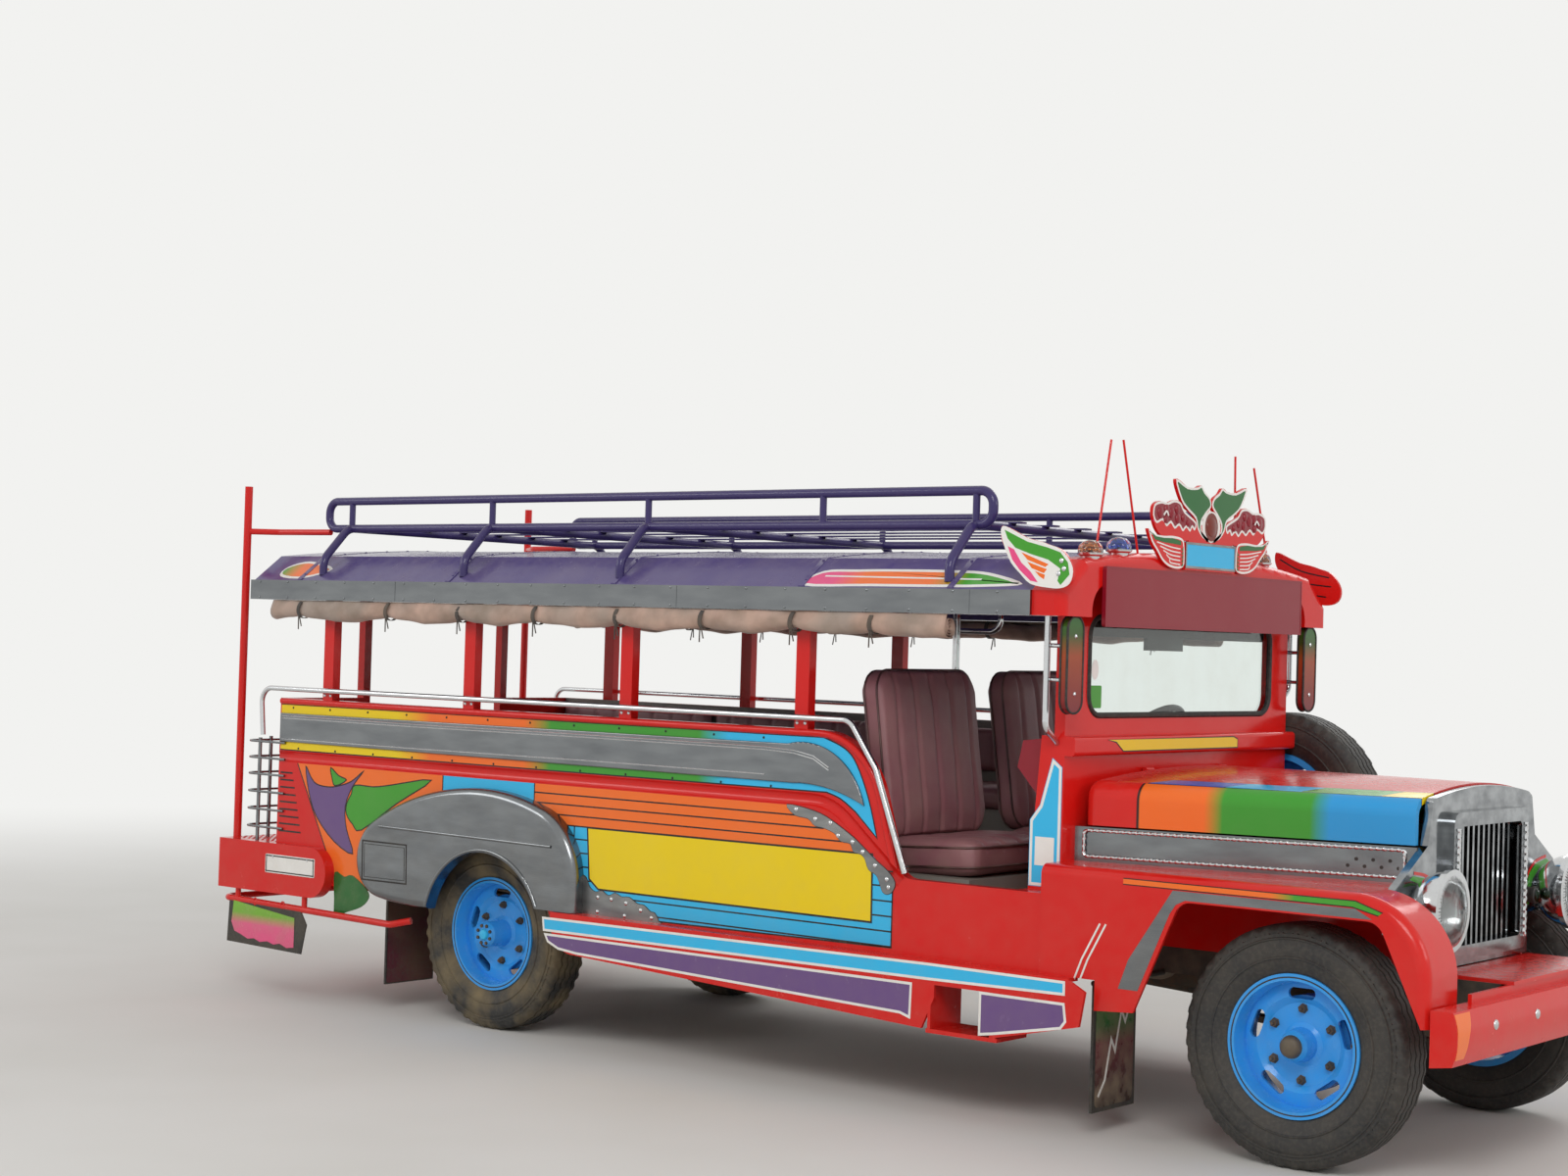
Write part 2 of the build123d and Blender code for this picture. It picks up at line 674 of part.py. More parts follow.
carrier_radius = 55
carrier_flange = 45
ledge_depth = 40
ledge_round = 14
with BuildPart() as scuttle:
    with Locations((frame_x + wall / 2, 0, (floor_z + ledge_high_z) / 2)):
        Box(wall, 2 * cowl_y, ledge_high_z - floor_z)
    with Locations((scuttle_x + ledge_depth / 2, 0, (ledge_low_z + ledge_high_z) / 2)):
        Box(ledge_depth, 2 * cowl_y, ledge_high_z - ledge_low_z)
    fillet(scuttle.faces().sort_by(Axis.X)[-1].edges().filter_by(Axis.Y), radius=ledge_round)
    with BuildSketch(upright(-cowl_y + wall)):
        with BuildLine():
            Polyline(
                (frame_x, floor_z), (frame_x, ledge_high_z), (door_front_x + 40, ledge_high_z),
                (door_front_x, sill_z), (door_front_x, floor_z), close=True,
            )
        make_face()
    extrude(amount=wall)
    mirror(about=Plane.XZ)
    for side in sides:
        with Locations(((door_front_x + scuttle_x) / 2, side * (cowl_y + inner_y) / 2, sill_z - plate / 2)):
            Box(scuttle_x - door_front_x, inner_y - cowl_y, plate)
    with Locations((spare_x, spare_y, spare_z)):
        Cylinder(spare_cut, 2 * (spare_y - cowl_y), rotation=(90, 0, 0), mode=Mode.SUBTRACT)
    with BuildSketch(face_plane(spare_x, cowl_y, spare_z, 1)):
        Circle(carrier_radius)
    extrude(amount=spare_y - 4 - cowl_y)
    with BuildSketch(face_plane(spare_x, spare_y - 4, spare_z, -1)):
        Circle(carrier_radius + carrier_flange)
    extrude(amount=plate)
finish(scuttle.part, "scuttle")

dash_depth = 150
dash_low_z = 1060
dash_high_z = 1290
with BuildPart() as dashboard:
    with BuildSketch(upright(cowl_y - wall)):
        with BuildLine():
            Polyline(
                (frame_x, dash_low_z), (frame_x, dash_high_z), (frame_x - dash_depth, dash_high_z - 20),
                (frame_x - dash_depth - 20, dash_high_z - 110), (frame_x - 60, dash_low_z), close=True,
            )
        make_face()
    extrude(amount=2 * (cowl_y - wall))
finish(dashboard.part, "dashboard")

with BuildPart() as front_visor:
    with BuildSketch(across(scuttle_x)):
        add(make_face(roof_outer, mode=Mode.PRIVATE))
        with Locations((0, header_top_z - header_radius)):
            SlotCenterToCenter(2 * (header_half - header_radius), 2 * header_radius, mode=Mode.SUBTRACT)
        with Locations((0, roof_edge_z)):
            Rectangle(2 * header_half, 2 * (header_top_z - header_radius - roof_edge_z), mode=Mode.SUBTRACT)
    extrude(amount=visor_depth)
    brim = front_visor.faces().sort_by(Axis.X)[-1].edges()
    brim = brim.filter_by(lambda edge: edge.center().Z > shoulder_z or abs(edge.center().Y) > shoulder_y)
    fillet(brim.filter_by(lambda edge: edge.center().Z > roof_edge_z + 1), radius=header_round)
finish(front_visor.part, "front_visor")

sign_half = 700
sign_low_z = 1660
sign_high_z = 1862
sign_thick = 14
sign_corner = 12
with BuildPart() as sign_board:
    with BuildSketch(across(scuttle_x + visor_depth)):
        with Locations((0, (sign_low_z + sign_high_z) / 2)):
            RectangleRounded(2 * sign_half, sign_high_z - sign_low_z, sign_corner)
    extrude(amount=sign_thick)
finish(sign_board.part, "sign_board")

crest_x = scuttle_x + visor_depth
crest_low_z = sign_high_z + 8
crest_plate_half = 178
crest_plate_top = 1967
# outlines of the crest's left half, each point from the middle and its height
leaf_outline = [
    (10, 1974), (60, 1988), (96, 2018), (112, 2052), (168, 2080), (215, 2112), (254, 2181), (175, 2160),
    (106, 2162), (76, 2171), (52, 2151), (14, 2130), (5, 2100), (40, 2072), (72, 2040), (62, 2004),
]
berry_outline = [
    (396, 2086), (350, 2099), (310, 2096), (264, 2108), (220, 2102), (190, 2074), (120, 2046), (106, 2030),
    (118, 1998), (160, 1974), (250, 1972), (330, 1976), (382, 2006), (404, 2048),
]
wing_outline = [
    (430, 2000), (395, 1985), (330, 1981), (270, 1984), (205, 1978), (188, 1955), (184, 1912), (190, 1882),
    (230, crest_low_z), (290, 1876), (335, 1895), (370, 1925), (410, 1960),
]
# leaf at each front corner of the roof: ahead of the scuttle, above the fascia
corner_outline = [
    (-144, 209), (-108, 196), (-48, 169), (10, 155), (34, 147), (80, 132), (115, 98), (130, 60), (118, 21),
    (84, 6), (38, 7), (-32, 19), (-74, 53), (-110, 88), (-136, 137), (-153, 187),
]
# whip aerials along the front of the roof: foot and tip, each as place across and height
whip_radius = 4
whip_table = [
    ((-690, 1880), (-603, 2291)),
    ((-404, 1890), (-525, 2297)),
    ((271, 1890), (259, 2300)),
    ((541, 1880), (402, 2268)),
]
with BuildPart() as roof_ornaments:
    for foot, tip in whip_table:
        with BuildLine() as whip:
            Line((crest_x - 40, *foot), (crest_x - 40, *tip))
        with BuildSketch(Plane(origin=whip.line @ 0, z_dir=whip.line % 0)):
            Circle(whip_radius)
        sweep()
    add(front_visor.part, mode=Mode.SUBTRACT)
    with BuildSketch(across(crest_x)):
        with Locations((0, (crest_low_z + crest_plate_top) / 2)):
            Rectangle(2 * crest_plate_half, crest_plate_top - crest_low_z)
        with Locations((0, crest_plate_top)):
            Rectangle(2 * crest_plate_half - 40, 130)
        for outline in (leaf_outline, berry_outline, wing_outline):
            with BuildLine():
                Spline(*outline, periodic=True)
            make_face()
        mirror(about=Plane.YZ)
    extrude(amount=plate)
    for side in sides:
        with BuildSketch(upright(side * (roof_y + 1.5 * plate) + plate / 2)):
            with BuildLine():
                Spline(*[(scuttle_x + ahead, fascia_z + high) for ahead, high in corner_outline], periodic=True)
            make_face()
        extrude(amount=plate)
finish(roof_ornaments.part, "roof_ornaments")

# Hood and front end

hood_rear_x = scuttle_x + 26
hood_front_x = grille_x - gap
hood_rear_half = 700
hood_front_half = 455
hood_low_z = 1000
hood_thick = 22
hood_crown = 34
hinge_y = 260
hinge_width = 50
hinge_pin = 9
hood_rear_round = 36
shoulder_drop = 62      # how far the hood's rounded shoulder reaches down and in
shoulder_bulge = 18     # its middle, in from the corner
hinge_x = scuttle_x + 16
hinge_z = hood_edge_z + 22


def hood_section(x, half, drop):
    # closed section of the hood at x, pulled in by drop all round
    knee_z = hood_edge_z - shoulder_drop
    bulge_y = half - shoulder_bulge - drop * 0.8
    bulge_z = hood_edge_z - shoulder_bulge - drop * 0.6
    with BuildSketch(across(x)) as section:
        with BuildLine():
            left = Line((drop - half, hood_low_z - drop), (drop - half, knee_z))
            corner = ThreePointArc(left @ 1, (-bulge_y, bulge_z), (shoulder_drop - half, hood_edge_z - drop))
            crown = ThreePointArc(corner @ 1, (0, hood_edge_z + hood_crown - drop),
                                  (half - shoulder_drop, hood_edge_z - drop))
            far = ThreePointArc(crown @ 1, (bulge_y, bulge_z), (half - drop, knee_z))
            right = Line(far @ 1, (half - drop, hood_low_z - drop))
            Line(right @ 1, left @ 0)
        make_face()
    return section.sketch


with BuildPart() as hood:
    loft([hood_section(hood_rear_x, hood_rear_half, 0), hood_section(hood_front_x, hood_front_half, 0)])
    rear_edges = hood.faces().sort_by(Axis.X)[0].edges()
    fillet(rear_edges.filter_by(lambda edge: edge.center().Z > hood_low_z + 1), radius=hood_rear_round)
    loft([hood_section(hood_rear_x + hood_thick, hood_rear_half - 4, hood_thick),
          hood_section(hood_front_x + 1, hood_front_half, hood_thick)], mode=Mode.SUBTRACT)
    for side in sides:
        with Locations((hood_rear_x + 20, side * hinge_y, hinge_z - 4)):
            Box(60, hinge_width, plate)
        with Locations((hinge_x, side * hinge_y, hinge_z)):
            Cylinder(hinge_pin, hinge_width, rotation=(90, 0, 0))
finish(hood.part, "hood")

hood_side_low_z = fender_top
with BuildPart() as hood_sides:
    with BuildSketch(Plane.XY.offset(hood_side_low_z)):
        with BuildLine():
            Polyline(
                (scuttle_x, -hood_rear_half), (grille_x, -hood_front_half),
                (grille_x, plate - hood_front_half),
                (scuttle_x, plate - hood_rear_half), close=True,
            )
        make_face()
    extrude(amount=hood_low_z - gap - hood_side_low_z)
    mirror(about=Plane.XZ)
finish(hood_sides.part, "hood_sides")

grille_thick = 26
grille_half = 300
slot_half = 245
face_half = 690
face_core = 380         # narrow part between the steered wheels
face_low_z = tyre_radius * 2 - 16
bar_count = 11
bar_width = 14
slot_tall = 380
slot_z = 860
surround_tall = 470
surround_thick = 30
face_top_half = 400
face_flank_z = 1000
with BuildPart() as grille_shell:
    with BuildSketch(across(grille_x)):
        with BuildLine():
            Polyline(
                (-face_core, frame_top + 15), (-face_core, face_low_z), (-face_half, face_low_z),
                (-face_half, slot_z), (-face_top_half - 30, face_flank_z), (-face_top_half, hood_edge_z - 20),
                (face_top_half, hood_edge_z - 20), (face_top_half + 30, face_flank_z), (face_half, slot_z),
                (face_half, face_low_z), (face_core, face_low_z), (face_core, frame_top + 15), close=True,
            )
        make_face()
        with Locations((0, slot_z)):
            Rectangle(2 * slot_half, slot_tall, mode=Mode.SUBTRACT)
    extrude(amount=grille_thick)
    with BuildSketch(across(grille_x + grille_thick)):
        with Locations((0, slot_z + 5)):
            RectangleRounded(2 * grille_half, surround_tall, 40)
            RectangleRounded(2 * slot_half, slot_tall, 20, mode=Mode.SUBTRACT)
    extrude(amount=surround_thick)
    for number in range(bar_count):
        bar_y = -slot_half + (number + 1) * 2 * slot_half / (bar_count + 1)
        with Locations((grille_x + grille_thick / 2, bar_y, slot_z)):
            Box(grille_thick, bar_width, slot_tall + 20)
finish(grille_shell.part, "grille_shell")

lamp_y = 500
lamp_z = 812
lamp_radius = 128
lamp_x = grille_x + grille_thick
lamp_back = 62
ring_rear = 100
ring_front = 118
lens_front = ring_front + 20
lens_edge = lamp_radius - 16
lens_bulge = 20
lens_bend = (lens_edge ** 2 + lens_bulge ** 2) / (2 * lens_bulge)
lens_half = asin(lens_edge / lens_bend) / 2
lens_middle = (lens_front - lens_bend * (1 - cos(lens_half)), lens_bend * sin(lens_half))
with BuildPart() as headlamps:
    for side in sides:
        with BuildSketch(Plane(origin=(lamp_x, side * lamp_y, lamp_z), x_dir=(1, 0, 0), z_dir=(0, -1, 0))):
            with BuildLine():
                back = Line((0, 0), (0, lamp_back))
                bowl = ThreePointArc(back @ 1, (45, 106), (ring_rear, lamp_radius - 6))
                ring = Polyline(bowl @ 1, (ring_rear, lamp_radius), (ring_front, lamp_radius),
                                (ring_front, lens_edge))
                lens = ThreePointArc(ring @ 1, lens_middle, (lens_front, 0))
                Line(lens @ 1, back @ 0)
            make_face()
        revolve(axis=Axis((lamp_x, side * lamp_y, lamp_z), (1, 0, 0)))
finish(headlamps.part, "headlamps")

skirt_top_z = 522
skirt_nose_x = front_axle_x - 647
fender_y = 900
fender_inner_y = 395
fender_round = 34
fender_rear_x = front_axle_x - dash_to_axle
fender_nose_x = front_axle_x + 490
fender_nose_z = 620
fender_crown_x = front_axle_x + 260
# the opening over the wheel: ahead of the axle, height
wheel_opening = [(-600, 200), (-340, 800), (330, 800), (470, 500), (470, 200)]
opening_corner = 60
with BuildPart() as front_fenders:
    with BuildSketch(upright(-fender_inner_y)):
        with BuildLine():
            back = Line((fender_rear_x, wall_bottom - 90), (fender_rear_x, fender_top))
            top = Line(back @ 1, (fender_crown_x, fender_top))
            brow = ThreePointArc(top @ 1, (front_axle_x + 420, fender_top - 75), (fender_nose_x, fender_nose_z))
            nose = Line(brow @ 1, (fender_nose_x, fender_nose_z - 120))
            Line(nose @ 1, back @ 0)
        make_face()
    extrude(amount=fender_y - fender_inner_y)
    crown = front_fenders.faces().sort_by(Axis.Y)[0].edges().filter_by(lambda edge: edge.center().Z > 560)
    fillet(crown.filter_by(lambda edge: edge.center().X > fender_rear_x + 1), radius=fender_round)
    with BuildSketch(upright(-fender_inner_y - plate)):
        with BuildLine():
            back = Line((fender_rear_x + sheet, 200), (fender_rear_x + sheet, fender_top - sheet))
            top = Line(back @ 1, (fender_crown_x - 5, fender_top - sheet))
            brow = ThreePointArc(top @ 1, (front_axle_x + 405, fender_top - 90),
                                 (fender_nose_x - sheet, fender_nose_z - 4))
            nose = Line(brow @ 1, (fender_nose_x - sheet, 200))
            Line(nose @ 1, back @ 0)
        make_face()
    extrude(amount=fender_y - fender_inner_y - 2 * plate, mode=Mode.SUBTRACT)
    with BuildSketch(upright(-fender_y + plate + 1)):
        with BuildLine():
            opening = FilletPolyline(
                *[(front_axle_x + ahead, high) for ahead, high in wheel_opening], radius=opening_corner,
            )
            Line(opening @ 1, opening @ 0)
        make_face()
    extrude(amount=plate + 2, mode=Mode.SUBTRACT)
    with Locations((grille_x + 250, -(face_half + plate) / 2, 700)):
        Box(500, face_half - plate, 600, mode=Mode.SUBTRACT)
    with Locations((front_axle_x - 100, -fender_inner_y, frame_top - 100)):
        Box(1600, 2 * sheet, 200, mode=Mode.SUBTRACT)
    with Locations(((scuttle_x + skirt_nose_x) / 2, -fender_y, skirt_top_z / 2)):
        Box(skirt_nose_x + 10 - scuttle_x, fender_y, skirt_top_z, mode=Mode.SUBTRACT)
    mirror(about=Plane.XZ)
    with Locations((spare_x, spare_y, spare_z)):
        Cylinder(spare_cut, 260, rotation=(90, 0, 0), mode=Mode.SUBTRACT)
finish(front_fenders.part, "front_fenders")

bumper_back_x = frame_front_x
bumper_low_z = 392
bumper_high_z = 560
bumper_depth = 70
bumper_bulge = 15
with BuildPart() as front_bumper:
    with BuildSketch(upright(fender_y)):
        with BuildLine():
            back = Line((bumper_back_x, bumper_high_z), (bumper_back_x, bumper_low_z))
            low = Line(back @ 1, (bumper_back_x + bumper_depth, bumper_low_z + 10))
            face = ThreePointArc(low @ 1, (bumper_back_x + bumper_depth + bumper_bulge, 480),
                                 (bumper_back_x + bumper_depth, bumper_high_z))
            Line(face @ 1, back @ 0)
        make_face()
    extrude(amount=2 * fender_y)
    with Locations(((lamp_x + bumper_back_x) / 2 + 20, 0, frame_top + 6)):
        Box(bumper_back_x + 40 - lamp_x, 2 * face_core, plate)
    with Locations((bumper_back_x + 6 + 20, 0, (bumper_high_z + frame_top) / 2)):
        Box(plate, 2 * (face_half - 10), frame_top - bumper_high_z)
finish(front_bumper.part, "front_bumper")

# Rear fenders, skirts, flaps and rails along the sides

rear_fender_y = 940
rear_fender_shell = 20
fender_soft = 32        # rounding of the fender's outer rim
lip_radius = 7          # wired edge round the wheel arch
# fender rim from front to back, each point ahead of the rear axle and its height
rim_points = [(400, 908), (54, 964), (-302, 910), (-565, 791), (-650, 660), (-520, 484), (-221, 466)]
fender_front_x = rear_axle_x + 592
arch_front_x = rear_axle_x + 390
arch_crown = 716
arch_middle_x = rear_axle_x + 77
crease_z = 777
with BuildPart() as rear_fenders:
    with BuildSketch(upright(-wall_y)) as fender_side:
        with BuildLine():
            front = Line((arch_front_x, skirt_top_z + 2), (fender_front_x, skirt_top_z + 2))
            rim = Line(front @ 1, (fender_front_x, 640))
            for ahead, high in rim_points:
                rim = TangentArc(rim @ 1, (rear_axle_x + ahead, high), tangent=rim % 1)
            ThreePointArc(rim @ 1, (arch_middle_x, arch_crown), front @ 0)
        make_face()
    extrude(amount=rear_fender_y - wall_y)
    face_edges = rear_fenders.faces().sort_by(Axis.Y)[0].edges()
    rim_edges = face_edges.filter_by(
        lambda edge: edge.center().Z > arch_crown or abs(edge.center().X - arch_middle_x) > arch_radius)
    fillet(rim_edges, radius=fender_soft)
    with BuildSketch(upright(-wall_y)):
        add(fender_side.sketch_local.face())
        offset(amount=-rear_fender_shell, mode=Mode.REPLACE)
    extrude(amount=rear_fender_y - wall_y - rear_fender_shell, mode=Mode.SUBTRACT)
    with BuildLine(upright(-rear_fender_y)) as lip:
        ThreePointArc((rear_axle_x - 216, 480), (arch_middle_x, arch_crown + 8),
                      (arch_front_x + 8, skirt_top_z + 10))
    with BuildSketch(Plane(origin=lip.line @ 0, z_dir=lip.line % 0)):
        Circle(lip_radius)
    sweep()
    with BuildLine(upright(-rear_fender_y)) as crease:
        Line((rear_axle_x - 500, crease_z), (rear_axle_x + 470, crease_z - 10))
    with BuildSketch(Plane(origin=crease.line @ 0, z_dir=crease.line % 0)):
        Circle(lip_radius - 1)
    sweep()
    mirror(about=Plane.XZ)
finish(rear_fenders.part, "rear_fenders")

skirt_rear_x = rear_axle_x + 486
step_opening = (door_front_x - 250, door_front_x - 24)
step_head_z = 445      # lower edge of the strip over the step
step_plate_z = 290
step_plate_depth = 180
step_plate_thick = 14
skirt_top_front_x = skirt_nose_x - 70
with BuildPart() as side_skirts:
    with BuildSketch(upright(-skirt_y + plate)):
        with BuildLine():
            top = Line((skirt_rear_x, skirt_top_z), (step_opening[0], skirt_top_z))
            tip = Polyline(top @ 1, (step_opening[0], 400), (step_opening[0] - 50, 295))
            low = Line(tip @ 1, (skirt_rear_x + 110, 371))
            heel = ThreePointArc(low @ 1, (skirt_rear_x + 35, 408), (skirt_rear_x, skirt_top_z - 30))
            Line(heel @ 1, top @ 0)
        make_face()
        with BuildLine():
            Polyline(
                (step_opening[1], skirt_top_z), (skirt_top_front_x, skirt_top_z), (skirt_nose_x, 486),
                (skirt_nose_x - 20, 373), (step_opening[1], 294), close=True,
            )
        make_face()
        with Locations(((step_opening[0] + step_opening[1]) / 2, (step_head_z + skirt_top_z) / 2)):
            Rectangle(step_opening[1] - step_opening[0] + plate, skirt_top_z - step_head_z)
    extrude(amount=plate)
    with Locations(((skirt_rear_x + skirt_top_front_x) / 2, -(wall_y + skirt_y) / 2, skirt_top_z - plate / 2)):
        Box(skirt_top_front_x - skirt_rear_x, skirt_y - wall_y, plate)
    with Locations(((step_opening[0] + step_opening[1]) / 2, -skirt_y + step_plate_depth / 2, step_plate_z)):
        Box(step_opening[1] - step_opening[0] + 60, step_plate_depth, step_plate_thick)
    for end_x in (step_opening[0] - 18, step_opening[1] + 18):
        with Locations((end_x, -skirt_y + step_plate_depth / 2, (step_plate_z + skirt_top_z) / 2)):
            Box(plate, step_plate_depth, skirt_top_z - step_plate_z)
    with Locations(((step_opening[0] + step_opening[1]) / 2, 160 - inner_y, skirt_top_z)):
        Box(step_opening[1] - step_opening[0] + 60, 200, 2 * (skirt_top_z - wall_bottom), mode=Mode.SUBTRACT)
    mirror(about=Plane.XZ)
    with Locations(((body_rear_x + front_axle_x) / 2, 0, wall_bottom + skirt_top_z / 2)):
        Box(2 * (front_axle_x - body_rear_x), 2 * wall_y, skirt_top_z, mode=Mode.SUBTRACT)
finish(side_skirts.part, "side_skirts")

# flap: place along X, half width span in Y, low and high Z
flap_table = [
    (rear_axle_x - 560, 570, 835, 120, 500),
    (front_axle_x - 690, 570, 835, 80, 500),
]
flap_thick = 10
flap_rod = 10
with BuildPart() as mud_flaps:
    for flap_x, flap_in, flap_out, flap_low, flap_high in flap_table:
        with BuildSketch(across(flap_x)):
            with Locations((-(flap_in + flap_out) / 2, (flap_low + flap_high) / 2)):
                Rectangle(flap_out - flap_in, flap_high - flap_low)
        extrude(amount=flap_thick)
        with Locations((flap_x + flap_thick / 2, -(rail_y + flap_out) / 2, flap_high)):
            Cylinder(flap_rod, flap_out - rail_y, rotation=(90, 0, 0))
    with BuildSketch(upright(20 - box_y - 5)):
        with BuildLine():
            Polyline(
                (step_rear_x + 70, lower_tube_z), (step_front_x - 170, lower_tube_z),
                (step_front_x - 120, 330), (step_front_x - 150, 205), (step_rear_x + 60, 215), close=True,
            )
        make_face()
    extrude(amount=6)
    mirror(about=Plane.XZ)
    add(rear_step.part, mode=Mode.SUBTRACT)
finish(mud_flaps.part, "mud_flaps")

rail_tube = 11
belt_rail_y = 900
belt_rail_z = 1312
belt_rail_corner = 60
with BuildPart() as belt_rails:
    with BuildLine() as belt_route:
        FilletPolyline(
            (body_rear_x - 70, -belt_rail_y, 1110), (body_rear_x - 90, -belt_rail_y, belt_rail_z),
            (swoop_x + 175, -belt_rail_y, belt_rail_z), (door_rear_x - 146, -belt_rail_y, 1150),
            (door_rear_x - 10, -belt_rail_y, sill_z + 20), radius=belt_rail_corner,
        )
    with BuildSketch(Plane(origin=belt_route.line @ 0, z_dir=belt_route.line % 0)):
        Circle(rail_tube)
    sweep()
    for number in range(post_count):
        with Locations((first_post_x + number * post_pitch, -(wall_y + belt_rail_y) / 2, belt_rail_z)):
            Cylinder(rail_tube - 3, belt_rail_y - wall_y, rotation=(90, 0, 0))
    with Locations((door_rear_x - 18, -(wall_y + belt_rail_y) / 2, sill_z + 36)):
        Cylinder(rail_tube, belt_rail_y - wall_y, rotation=(90, 0, 0))
    mirror(about=Plane.XZ)
    add(side_walls.part, mode=Mode.SUBTRACT)
finish(belt_rails.part, "belt_rails")

mirror_x = scuttle_x + 40
mirror_y = 835
mirror_low_z = 1372
mirror_high_z = 1690
mirror_width = 96
mirror_corner = 44
mirror_thick = 26
bracket_x = frame_x + 10
# side, height of the bracket's foot: the left one stands above the spare wheel
mirror_table = [(-1, 1270), (1, 1400)]
with BuildPart() as mirrors:
    for side, bracket_z in mirror_table:
        with BuildSketch(across(mirror_x)):
            with Locations((side * mirror_y, (mirror_low_z + mirror_high_z) / 2)):
                RectangleRounded(mirror_width, mirror_high_z - mirror_low_z, mirror_corner)
        extrude(amount=mirror_thick)
        with BuildLine() as bracket:
            FilletPolyline(
                (bracket_x, side * cowl_y, bracket_z), (bracket_x, side * (mirror_y + 20), bracket_z + 50),
                (bracket_x, side * (mirror_y + 20), roof_edge_z), radius=40,
            )
        with BuildSketch(Plane(origin=bracket.line @ 0, z_dir=bracket.line % 0)):
            Circle(rail_tube)
        sweep()
        for stud_z in (1480, 1593):
            with Locations(((frame_x + mirror_x + 20) / 2, side * (mirror_y + 8), stud_z)):
                Cylinder(7, mirror_x - frame_x, rotation=(0, 90, 0))
    add(scuttle.part, mode=Mode.SUBTRACT)
    add(windshield_frame.part, mode=Mode.SUBTRACT)
finish(mirrors.part, "mirrors")

curtain_low_z = 1604
roll_depth = 76
roll_corner = 34
roll_out = 44           # centre of the roll outside the wall
with BuildPart() as rolled_curtains:
    with BuildSketch(across(body_rear_x + 20)):
        with Locations((-(wall_y + roll_out), (curtain_low_z + roof_edge_z) / 2)):
            RectangleRounded(roll_depth, roof_edge_z - curtain_low_z, roll_corner)
    extrude(amount=door_rear_x + 150 - body_rear_x)
    mirror(about=Plane.XZ)
finish(rolled_curtains.part, "rolled_curtains")

# Cabin

bench_y = 450
bench_top = 930
bench_rear_x = body_rear_x + wall
bench_front_x = door_rear_x - 420
bench_middle_x = (bench_rear_x + bench_front_x) / 2
bench_length = bench_front_x - bench_rear_x
bench_board = 25
with BuildPart() as benches:
    with Locations((bench_middle_x, -(bench_y + inner_y) / 2, bench_top - bench_board / 2)):
        Box(bench_length, inner_y - bench_y, bench_board)
    with Locations((bench_middle_x, -bench_y - bench_board / 2, (floor_z + bench_top) / 2)):
        Box(bench_length, bench_board, bench_top - floor_z)
    mirror(about=Plane.XZ)
finish(benches.part, "benches")

cushion_thick = 100
backrest_thick = 55
with BuildPart() as bench_cushions:
    with Locations((bench_middle_x, -(bench_y + inner_y) / 2 + 2, bench_top + cushion_thick / 2)):
        Box(bench_length - 20, inner_y - bench_y - 8, cushion_thick)
    with Locations((bench_middle_x, -inner_y + 32, (bench_top + cushion_thick + 4 + belt_z) / 2)):
        Box(bench_length - 20, backrest_thick, belt_z - bench_top - cushion_thick - 10)
    mirror(about=Plane.XZ)
finish(bench_cushions.part, "bench_cushions")

seat_rear_x = door_rear_x - 390
seat_depth = 470
seat_half_width = 330
seat_y = 400
seat_middle_x = seat_rear_x + seat_depth / 2 + 60
seat_top_z = 1520
with BuildPart() as seat_bases:
    for side in sides:
        with Locations((seat_middle_x, side * seat_y, (floor_z + sill_z) / 2)):
            Box(seat_depth, 2 * seat_half_width, sill_z - floor_z)
            Box(seat_depth - 2 * sheet, 2 * seat_half_width - 2 * sheet, sill_z - floor_z, mode=Mode.SUBTRACT)
        with Locations((seat_middle_x, side * seat_y, sill_z - sheet / 2)):
            Box(seat_depth, 2 * seat_half_width, sheet)
finish(seat_bases.part, "seat_bases")

with BuildPart() as front_seats:
    for side in sides:
        with BuildSketch(upright(side * seat_y + seat_half_width)):
            with BuildLine():
                Polyline(
                    (seat_rear_x + 70, sill_z), (seat_rear_x + 60 + seat_depth, sill_z),
                    (seat_rear_x + 80 + seat_depth, sill_z + 120), (seat_rear_x + 170, sill_z + 110),
                    (seat_rear_x + 110, seat_top_z - 40), (seat_rear_x + 40, seat_top_z),
                    (seat_rear_x, seat_top_z - 20), close=True,
                )
            make_face()
        extrude(amount=2 * seat_half_width)
finish(front_seats.part, "front_seats")

handrail_z = 1640
handrail_y = 300
handrail_corner = 50
handrail_root_z = crown_z - roof_thick + 5
stanchion_x = seat_rear_x - 60
stanchion_radius = 14
with BuildPart() as handrails:
    for side in sides:
        with BuildLine() as grab:
            FilletPolyline(
                (body_rear_x + 200, side * handrail_y, handrail_root_z),
                (body_rear_x + 200, side * handrail_y, handrail_z),
                (stanchion_x, side * handrail_y, handrail_z),
                (stanchion_x, side * handrail_y, handrail_root_z), radius=handrail_corner,
            )
        with BuildSketch(Plane(origin=grab.line @ 0, z_dir=grab.line % 0)):
            Circle(rail_tube)
        sweep()
    with Locations((stanchion_x, 0, (floor_z + crown_z - roof_thick) / 2)):
        Cylinder(stanchion_radius, crown_z - roof_thick - floor_z)
    add(roof_shell.part, mode=Mode.SUBTRACT)
finish(handrails.part, "handrails")

# Steering gear

